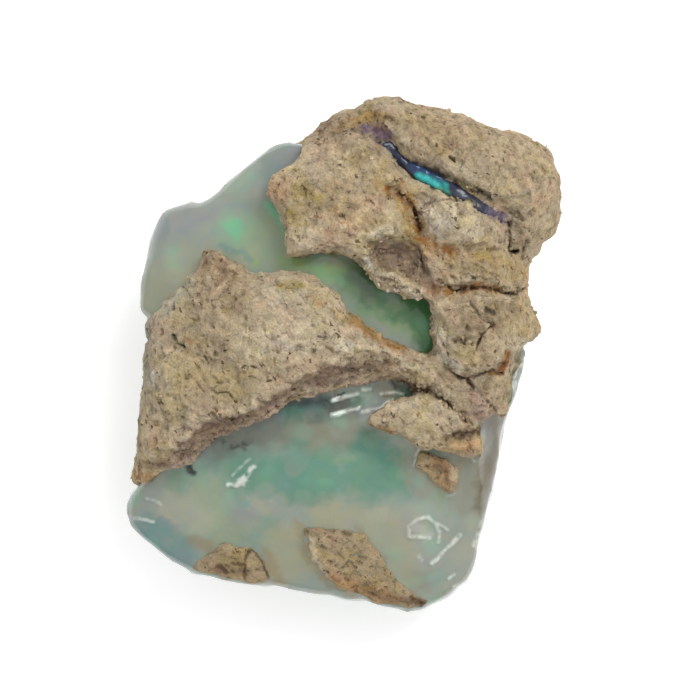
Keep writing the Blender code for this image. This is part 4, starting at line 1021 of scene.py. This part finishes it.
def rock_finish(name, grain):
    """Sandy ash rock: the stored tint, mottled, flecked along its bedding and finely cracked, with
    painted shade in its pits and small holes.
    """
    made, tree, shader, grid = new_material(name)
    own = stored(tree, "tint")
    pit = stored(tree, "pit", "Fac")
    bent = add(tree, "ShaderNodeTexNoise", {"Vector": grid, "Scale": 0.9 * grain, "Detail": 4.0})
    bent = add(tree, "ShaderNodeVectorMath", {0: bent.outputs["Color"], 1: (0.5, 0.5, 0.5),
                                              2: grid}, operation="MULTIPLY_ADD").outputs[0]
    bedding = add(tree, "ShaderNodeMapping", {
        "Vector": bent, "Rotation": (0.0, 0.0, math.radians(-48.0)), "Scale": (1.8, 1.0, 1.0)},
        vector_type="TEXTURE").outputs[0]

    def cloud(vector, scale, detail=6.0):
        return add(tree, "ShaderNodeTexNoise", {"Vector": vector, "Scale": scale * grain,
                                                "Detail": detail, "Roughness": 0.66}).outputs[0]

    broad = cloud(grid, 0.42)
    patch = cloud(bent, 1.15)
    grains = cloud(bedding, 2.6, 8.0)
    for value, low, high, share, shift in (
            (broad, 0.52, 0.60, 0.9, (1.05, 0.96, 0.95)), (broad, 0.48, 0.40, 0.9, (1.0, 0.98, 0.82)),
            (patch, 0.53, 0.58, 0.8, (0.88, 0.90, 0.97)), (patch, 0.47, 0.41, 0.8, (1.16, 1.17, 1.18)),
            (grains, 0.54, 0.66, 0.8, (1.24, 1.24, 1.27)),
            (grains, 0.44, 0.33, 1.0, (0.52, 0.46, 0.40))):
        own = mixed(tree, ramp(tree, value, low, high, 0.0, share), own, (*shift, 1.0), "MULTIPLY")
    cells = add(tree, "ShaderNodeTexVoronoi", {"Vector": bent, "Scale": 0.55 * grain},
                feature="DISTANCE_TO_EDGE").outputs[0]
    breaks = maths(tree, "MULTIPLY", ramp(tree, cells, 0.035, 0.012),
                   ramp(tree, patch, 0.52, 0.58))
    own = mixed(tree, maths(tree, "MULTIPLY", breaks, 0.18), own, rgb(BARK))
    # Small holes drawn only in the shading, with painted shade in them.
    ragged = add(tree, "ShaderNodeTexNoise", {"Vector": bedding, "Scale": 4.5 * grain})
    ragged = add(tree, "ShaderNodeVectorMath", {0: ragged.outputs["Color"], 1: (0.5, 0.5, 0.5),
                                                2: bedding}, operation="MULTIPLY_ADD").outputs[0]
    cells = add(tree, "ShaderNodeTexVoronoi", {"Vector": ragged, "Scale": 2.7 * grain})
    hue = add(tree, "ShaderNodeSeparateColor", {"Color": cells.outputs["Color"]})
    reach = maths(tree, "MULTIPLY", ramp(tree, hue.outputs[0], 0.66, 1.0),
                  ramp(tree, cloud(grid, 0.8, 3.0), 0.42, 0.60, 0.18, 0.42))
    holes = ramp(tree, maths(tree, "SUBTRACT", cells.outputs["Distance"], reach), 0.0, -0.07)
    own = mixed(tree, maths(tree, "MULTIPLY", holes, 0.85), own, rgb(BARK))
    sand = cloud(grid, 7.5, 3.0)
    shade = ramp(tree, sand, 0.3, 0.7, 0.96, 1.34)
    own = mixed(tree, 1.0, own, add(tree, "ShaderNodeCombineColor", {
        "Red": shade, "Green": shade, "Blue": shade}).outputs[0], "MULTIPLY")
    # Painted shade in the gas pits.
    own = mixed(tree, maths(tree, "MULTIPLY", pit, 0.75), own, rgb(BARK))
    tree.links.new(own, shader.inputs["Base Color"])
    tree.links.new(ramp(tree, patch, 0.3, 0.7, 0.95, 0.80), shader.inputs["Roughness"])
    relief = maths(tree, "MULTIPLY_ADD", sand, 0.25, grains)
    relief = maths(tree, "MULTIPLY_ADD", breaks, -0.15, relief)
    relief = maths(tree, "MULTIPLY_ADD", holes, -0.5, relief)
    roughen(tree, shader, relief, 1.0, 0.3)
    set_shader(shader, {"IOR": 1.5, "Specular IOR Level": 0.25})
    return made


def splinters(points, size, seed):
    """Steps between angular splinters of rock, each level but tilted a little its own way."""
    bedding = np.array(BEDDING)
    warp = np.stack([lumps(points, 0.6 * size, seed + k) for k in (1.0, 2.0, 3.0)], axis=1)
    bent = points + 0.22 * size * warp
    bent -= np.outer(bent @ bedding, bedding) * (1.0 - 1.0 / SPLINTER_LENGTH)
    height = np.empty(len(points))
    for i, place in enumerate(bent / size + seed):
        corner = noise.voronoi(Vector(place))[1][0]
        tilt = noise.cell_vector(corner * 7.31)
        height[i] = tilt.z + 0.9 * ((place[0] - corner.x) * tilt.x + (place[1] - corner.y) * tilt.y)
    return height - height.mean()


def jostle(piece, size, reach, seed):
    """Moves the points about in every direction, so that rims and edges come out ragged."""
    points = points_of(piece)
    noise.seed_set(seed)
    start = Vector((seed, 0.3 * seed, 2.0 * seed))
    moves = np.array([noise.noise_vector(Vector(p) / size + start) for p in points])
    points += moves * reach
    points[:, 2] = np.maximum(points[:, 2], 0.0)
    put_points(piece, points)


rock = merged_copy("ash_rock", "host_rock")
fill_pocket(rock, "opal_seam", SEAM_DROP)
reskin(rock, ROCK_SKIN, 1)
jostle(rock, 1.1, 0.20, 5)
close_gap(rock, opal, 0.75, 0.12)
thin_rims(rock, opal, 1.5, 0.6)
refine(rock, normals_of(rock)[:, 2] > 0.15)
jostle(rock, 0.45, 0.08, 8)
refine_beside(rock, ROCK_CRACKS, 0.35, 0.15)

points = points_of(rock)
facing = normals_of(rock)
up = fade((facing[:, 2] + 0.2) / 0.5)
grit = GRIT_HEIGHT * lumps(points, GRIT_SIZE, 19.0, 4)
grit = grit + CHIP_HEIGHT * splinters(points, CHIP_SIZE, 16.0)
height = grit + SWELL_HEIGHT * lumps(points, SWELL_SIZE, 14.0, 3)
height = height + SLAB_HEIGHT * splinters(points, SLAB_SIZE, 6.0)
whole_ledge = LEDGE + ((2.6, -1.4), (4.4, -1.7))
on_ledge = fade(1.4 - distance_to(points, whole_ledge) / 1.1) * up
beds = (points[:, 2] + 0.25 * lumps(points, 1.6, 27.0)) / BED_THICKNESS
height += on_ledge * BED_STEP * (fade(2.0 * (beds % 1.0)) - beds % 1.0)
height += CREST_SHARE * crack_depth(points, ROCK_CRESTS, 0.20, CREST_SEED) * up
cut = crack_depth(points, ROCK_CRACKS, 0.10, CRACK_SEED) * up
for depth, _, _, outline in ROCK_HOLLOWS:
    height -= depth * inside(points, outline, 0.12, HOLLOW_SEED) * up
raise_skin(rock, height - cut)
store_value(rock, "grit", grit)

host_finish = rock_finish("Ash rock", 1.0)
run_tree(rock, pit_tree, {"Seed": 7, "Spacing": 0.34 * MM, "Pits per area": 3.0e6,
                          "Smallest": 0.04 * MM, "Largest": 0.17 * MM, "Depth": 0.22 * MM,
                          "Finish": host_finish})
points = points_of(rock)
facing = normals_of(rock)
up = fade((facing[:, 2] + 0.25) / 0.4)
warm = lumps(points, 2.6, 51.0, 3)
tint = plain(points, TAN)
wash(tint, SAND, 0.55 * fade(1.6 * warm))
wash(tint, GREY_TAN, 0.45 * fade(-1.6 * warm))
stain(tint, points, up, ROCK_STAINS, 0.16, 60.0, 0.45)
for _, colour, strength, outline in ROCK_HOLLOWS:
    wash(tint, colour, strength * inside(points, outline, 0.10, HOLLOW_SEED) * up)
cut = crack_depth(points, ROCK_CRACKS, 0.10, CRACK_SEED) * up
crest = crack_depth(points, ROCK_CRESTS, 0.20, CREST_SEED) * up
# Painted highlight along the crests of the beds.
wash(tint, CREAM, 0.40 * fade((crest - 0.08) / 0.16))
# Painted shade: the rock darkens with the depth of its cracks and chips, nearly black in the deepest.
tint *= (1.0 - 0.50 * fade((cut - 0.05) / 0.20))[:, None]
wash(tint, CREVICE_SHADE, 0.75 * fade((cut - 0.26) / 0.22))
# Painted light and shade: raised grit and chips are lighter, low places darker.
grit = np.empty(len(points), np.float32)
rock.data.attributes["grit"].data.foreach_get("value", grit)
tint *= np.clip(1.0 + 2.4 * grit, 0.70, 1.25)[:, None]
store_colour(rock, "tint", tint)
dress(rock, host_finish, "host_rock", "host_rock")

# Loose grains: angular bits of the rock, half sunk in its skin. They crowd where the rock
# crumbles: along the window's upper rim, on the broken ledge and in the folds beside it.
HALF_TURN = 3.1  # a little under half a turn, in radians

# Where the rock crumbles: share, half width, and line.
CRUMBLY = (
    (1.0, 0.42, ((1.5, 6.5), (1.9, 5.6), (2.4, 5.0), (3.4, 4.9), (4.2, 4.3), (5.0, 3.8),
                 (5.8, 2.8), (6.2, 1.4))),
    (0.35, 0.75, ((-12.6, -7.6), (-11.4, -7.2), (-10.2, -6.4), (-9.2, -5.6), (-7.4, -5.2),
                 (-6.0, -4.4), (-4.6, -3.5), (-3.2, -2.8), (-1.4, -2.3), (0.6, -1.8),
                 (2.6, -1.6), (4.4, -2.0))),
    (0.8, 0.80, ((3.4, -1.4), (5.4, -2.4), (7.0, -3.2), (8.2, -4.4))),
    (0.5, 0.50, ((3.8, 11.2), (4.7, 10.2), (5.0, 9.0), (5.4, 7.6))),
    (0.6, 0.50, ((7.2, 11.8), (8.8, 11.0), (10.2, 10.0), (11.6, 9.2))),
    (0.5, 1.00, ((2.4, 7.2), (4.4, 6.8), (5.0, 5.8))),
)

grain_tree, given = new_tree("Loose grains", "Grains", (
    ("Rock", "Geometry", None), ("Seed", "Int", 1), ("Spacing", "Float", 0.3 * MM),
    ("Grains per area", "Float", 1.0), ("Smallest", "Float", 0.05 * MM),
    ("Largest", "Float", 0.2 * MM), ("Finish", "Material", None)))
crumbly = add(grain_tree, "GeometryNodeInputNamedAttribute", {"Name": "crumbly"},
              data_type="FLOAT").outputs[0]
strewn = add(grain_tree, "GeometryNodeDistributePointsOnFaces", {
    "Mesh": given["Rock"], "Distance Min": given["Spacing"], "Seed": given["Seed"],
    "Density Max": given["Grains per area"], "Density Factor": crumbly},
    distribute_method="POISSON")
spans = [add(grain_tree, "ShaderNodeCombineXYZ", {k: given[name] for k in range(3)}).outputs[0]
         for name in ("Smallest", "Largest")]
span, turn = [add(grain_tree, "FunctionNodeRandomValue", {0: least, 1: most,
                                                          "Seed": given["Seed"]},
                  data_type="FLOAT_VECTOR").outputs[0]
              for least, most in (spans, ((-HALF_TURN,) * 3, (HALF_TURN,) * 3))]
grain = add(grain_tree, "GeometryNodeMeshIcoSphere", {"Radius": 1.0, "Subdivisions": 1})
strewn_grains = add(grain_tree, "GeometryNodeInstanceOnPoints", {
    "Points": strewn.outputs["Points"], "Instance": grain.outputs[0], "Rotation": turn,
    "Scale": span})
end_tree(grain_tree, "Grains", strewn_grains.outputs[0], given["Finish"])

crumbs = placed("loose_grains", rock.data.copy())
crumbling = np.full(len(points), 0.035) * up
for share, half_width, line in CRUMBLY:
    crumbling = np.maximum(crumbling, share * up * fade(1.0 - distance_to(points, line) / half_width))
store_value(crumbs, "crumbly", crumbling)
run_tree(crumbs, grain_tree, {"Seed": 3, "Spacing": 0.20 * MM, "Grains per area": 1.6e7,
                              "Smallest": 0.05 * MM, "Largest": 0.24 * MM,
                              "Finish": host_finish})
ground = BVHTree.FromObject(rock, bpy.context.evaluated_depsgraph_get())
places = points_of(crumbs)
places[:, 2] = np.maximum(places[:, 2], 0.0)
beneath = [rock.data.polygons[ground.find_nearest(Vector(p) * MM)[2]].vertices[0] for p in places]
put_points(crumbs, places)
grain_tint = tint[beneath] * (1.05 + 0.4 * lumps(places, 0.5, 81.0))[:, None]
crumbs.data.color_attributes.remove(crumbs.data.color_attributes["tint"])
store_colour(crumbs, "tint", grain_tint)
dress(crumbs, host_finish, "host_rock")
crumbs.data.shade_flat()


# --- scraps of crust --------------------------------------------------------------------
# Three scraps of the same rock that the opal grew round: one lies deep in the right part of
# the face and two are left on its lower edge. They are part of the opal and can't come out.

SCRAP_SKIN = 0.09  # side of the squares of a scrap's skin
FIRST_SCRAP_SEED = 90

SCRAP_STAINS = {
    "rock_inclusion": (
        (SAND, 0.70, 1.0, ((5.4, -7.4), (6.4, -7.6))),
        (RUST, 0.60, 1.0, ((6.6, -7.9), (7.4, -9.0))),
        (UMBER, 0.80, 0.4, ((6.5, -8.1), (7.0, -8.2), (7.4, -9.2))),
        (CREAM, 0.45, 0.5, ((7.8, -8.2), (7.8, -9.0))),
    ),
    "bottom_crust": (
        (CREAM, 0.70, 0.45, ((-2.4, -13.2), (-2.2, -14.5), (-1.5, -15.9))),
        (FAWN, 0.60, 0.5, ((-3.0, -12.6), (-1.0, -12.5))),
        (RUST, 0.55, 0.9, ((-0.5, -16.2), (1.2, -16.8), (3.4, -17.6))),
        (PEACH, 0.50, 0.6, ((-0.8, -15.6), (0.2, -16.6))),
        (UMBER, 0.60, 0.5, ((1.4, -16.8), (3.0, -17.6), (5.6, -17.9))),
        (BARK, 0.70, 0.26, ((0.0, -12.8), (0.3, -12.85))),
        (BARK, 0.60, 0.22, ((-0.9, -14.7), (-0.7, -14.7))),
        (BARK, 0.50, 0.26, ((1.2, -14.5), (1.6, -14.6))),
        (BARK, 0.70, 0.35, ((5.0, -17.7), (6.1, -18.0))),
    ),
    "corner_crust": (
        (SAND, 0.70, 0.9, ((-9.4, -14.2), (-7.8, -14.2))),
        (OLIVE, 0.35, 0.9, ((-8.6, -14.8), (-7.6, -14.8))),
        (UMBER, 0.60, 0.6, ((-9.2, -15.4), (-7.0, -15.6))),
        (BARK, 0.80, 0.24, ((-9.0, -15.2), (-8.4, -15.7))),
        (BARK, 0.75, 0.24, ((-8.0, -15.0), (-7.2, -15.1))),
        (BARK, 0.80, 0.18, ((-7.1, -16.0), (-7.0, -14.4), (-6.6, -13.95), (-6.1, -14.4),
                            (-5.6, -15.5), (-5.0, -16.3))),
    ),
}

scrap_finish = rock_finish("Crust left on the opal", 1.25)
for seed, (node, stains) in enumerate(SCRAP_STAINS.items(), FIRST_SCRAP_SEED):
    scrap = merged_copy(node + "_scrap", node)
    reskin(scrap, SCRAP_SKIN, 2)
    jostle(scrap, 0.7, 0.16, seed)
    points = points_of(scrap)
    height = 0.10 + 0.07 * lumps(points, 0.9, seed, 4) + 0.08 * (0.5 - shells(points, 1.1, seed))
    raise_skin(scrap, height)
    run_tree(scrap, pit_tree, {"Seed": seed, "Spacing": 0.35 * MM, "Pits per area": 2.5e6,
                               "Smallest": 0.05 * MM, "Largest": 0.17 * MM,
                               "Depth": 0.18 * MM, "Finish": scrap_finish})
    points = points_of(scrap)
    tint = plain(points, SAND)
    stain(tint, points, np.ones(len(points)), stains, 0.15, seed)
    store_colour(scrap, "tint", tint)
    dress(scrap, scrap_finish, "rock_scraps", node)


# --- floor, light and camera ------------------------------------------------------------
# The stone lies face up on a plain white board under an even, soft light, with one soft lamp from
# the upper right that draws glints on the opal's ridges; the brightest glints are painted highlights.

FLOOR_HALF_WIDTH = 2.0  # metres, as are all sizes and places below
STONE_MIDDLE = Vector((0.0, 0.0, 0.008))
LAMP_PLACE = (0.092, 0.128, 0.180)
LAMP_WIDTH = 0.12
LAMP_POWER = 0.30
CAMERA_PLACE = (0.0003929, 0.0001429, 0.257)
LENS = 180.0
SENSOR = 36.0

bm = bmesh.new()
bmesh.ops.create_grid(bm, x_segments=1, y_segments=1, size=FLOOR_HALF_WIDTH)
board_mesh = bpy.data.meshes.new("floor")
bm.to_mesh(board_mesh)
bm.free()
floor = placed("floor", board_mesh)
board, tree, shader, grid = new_material("White board")
fibre = add(tree, "ShaderNodeTexNoise", {"Vector": grid, "Scale": 0.4, "Detail": 3.0})
tree.links.new(mixed(tree, fibre.outputs[0], rgb((250, 250, 250)), rgb((255, 255, 255))),
               shader.inputs["Base Color"])
set_shader(shader, {"Roughness": 0.95, "Specular IOR Level": 0.1,
                    "Emission Color": (1.0, 1.0, 1.0, 1.0), "Emission Strength": 0.35})
floor.data.materials.append(board)

world = bpy.data.worlds.new("Studio")
world.use_nodes = True
tree = world.node_tree
sky = add(tree, "ShaderNodeSeparateXYZ", {
    "Vector": add(tree, "ShaderNodeTexCoord").outputs["Generated"]})
backdrop = tree.nodes["Background"].inputs
backdrop["Color"].default_value = (1.0, 1.0, 1.0, 1.0)
tree.links.new(ramp(tree, sky.outputs["Z"], 0.0, 0.5, 0.45, 0.80), backdrop["Strength"])
bpy.context.scene.world = world

softbox = bpy.data.lights.new("Softbox", "AREA")
softbox.size = LAMP_WIDTH
softbox.energy = LAMP_POWER
lamp = placed("Softbox", softbox)
lamp.location = LAMP_PLACE
lamp.rotation_euler = (STONE_MIDDLE - lamp.location).to_track_quat("-Z", "Y").to_euler()

view = bpy.data.cameras.new("Camera")
view.lens = LENS
view.sensor_width = SENSOR
camera = placed("Camera", view)
camera.location = CAMERA_PLACE
bpy.context.scene.camera = camera
bpy.context.scene.view_settings.view_transform = "Standard"
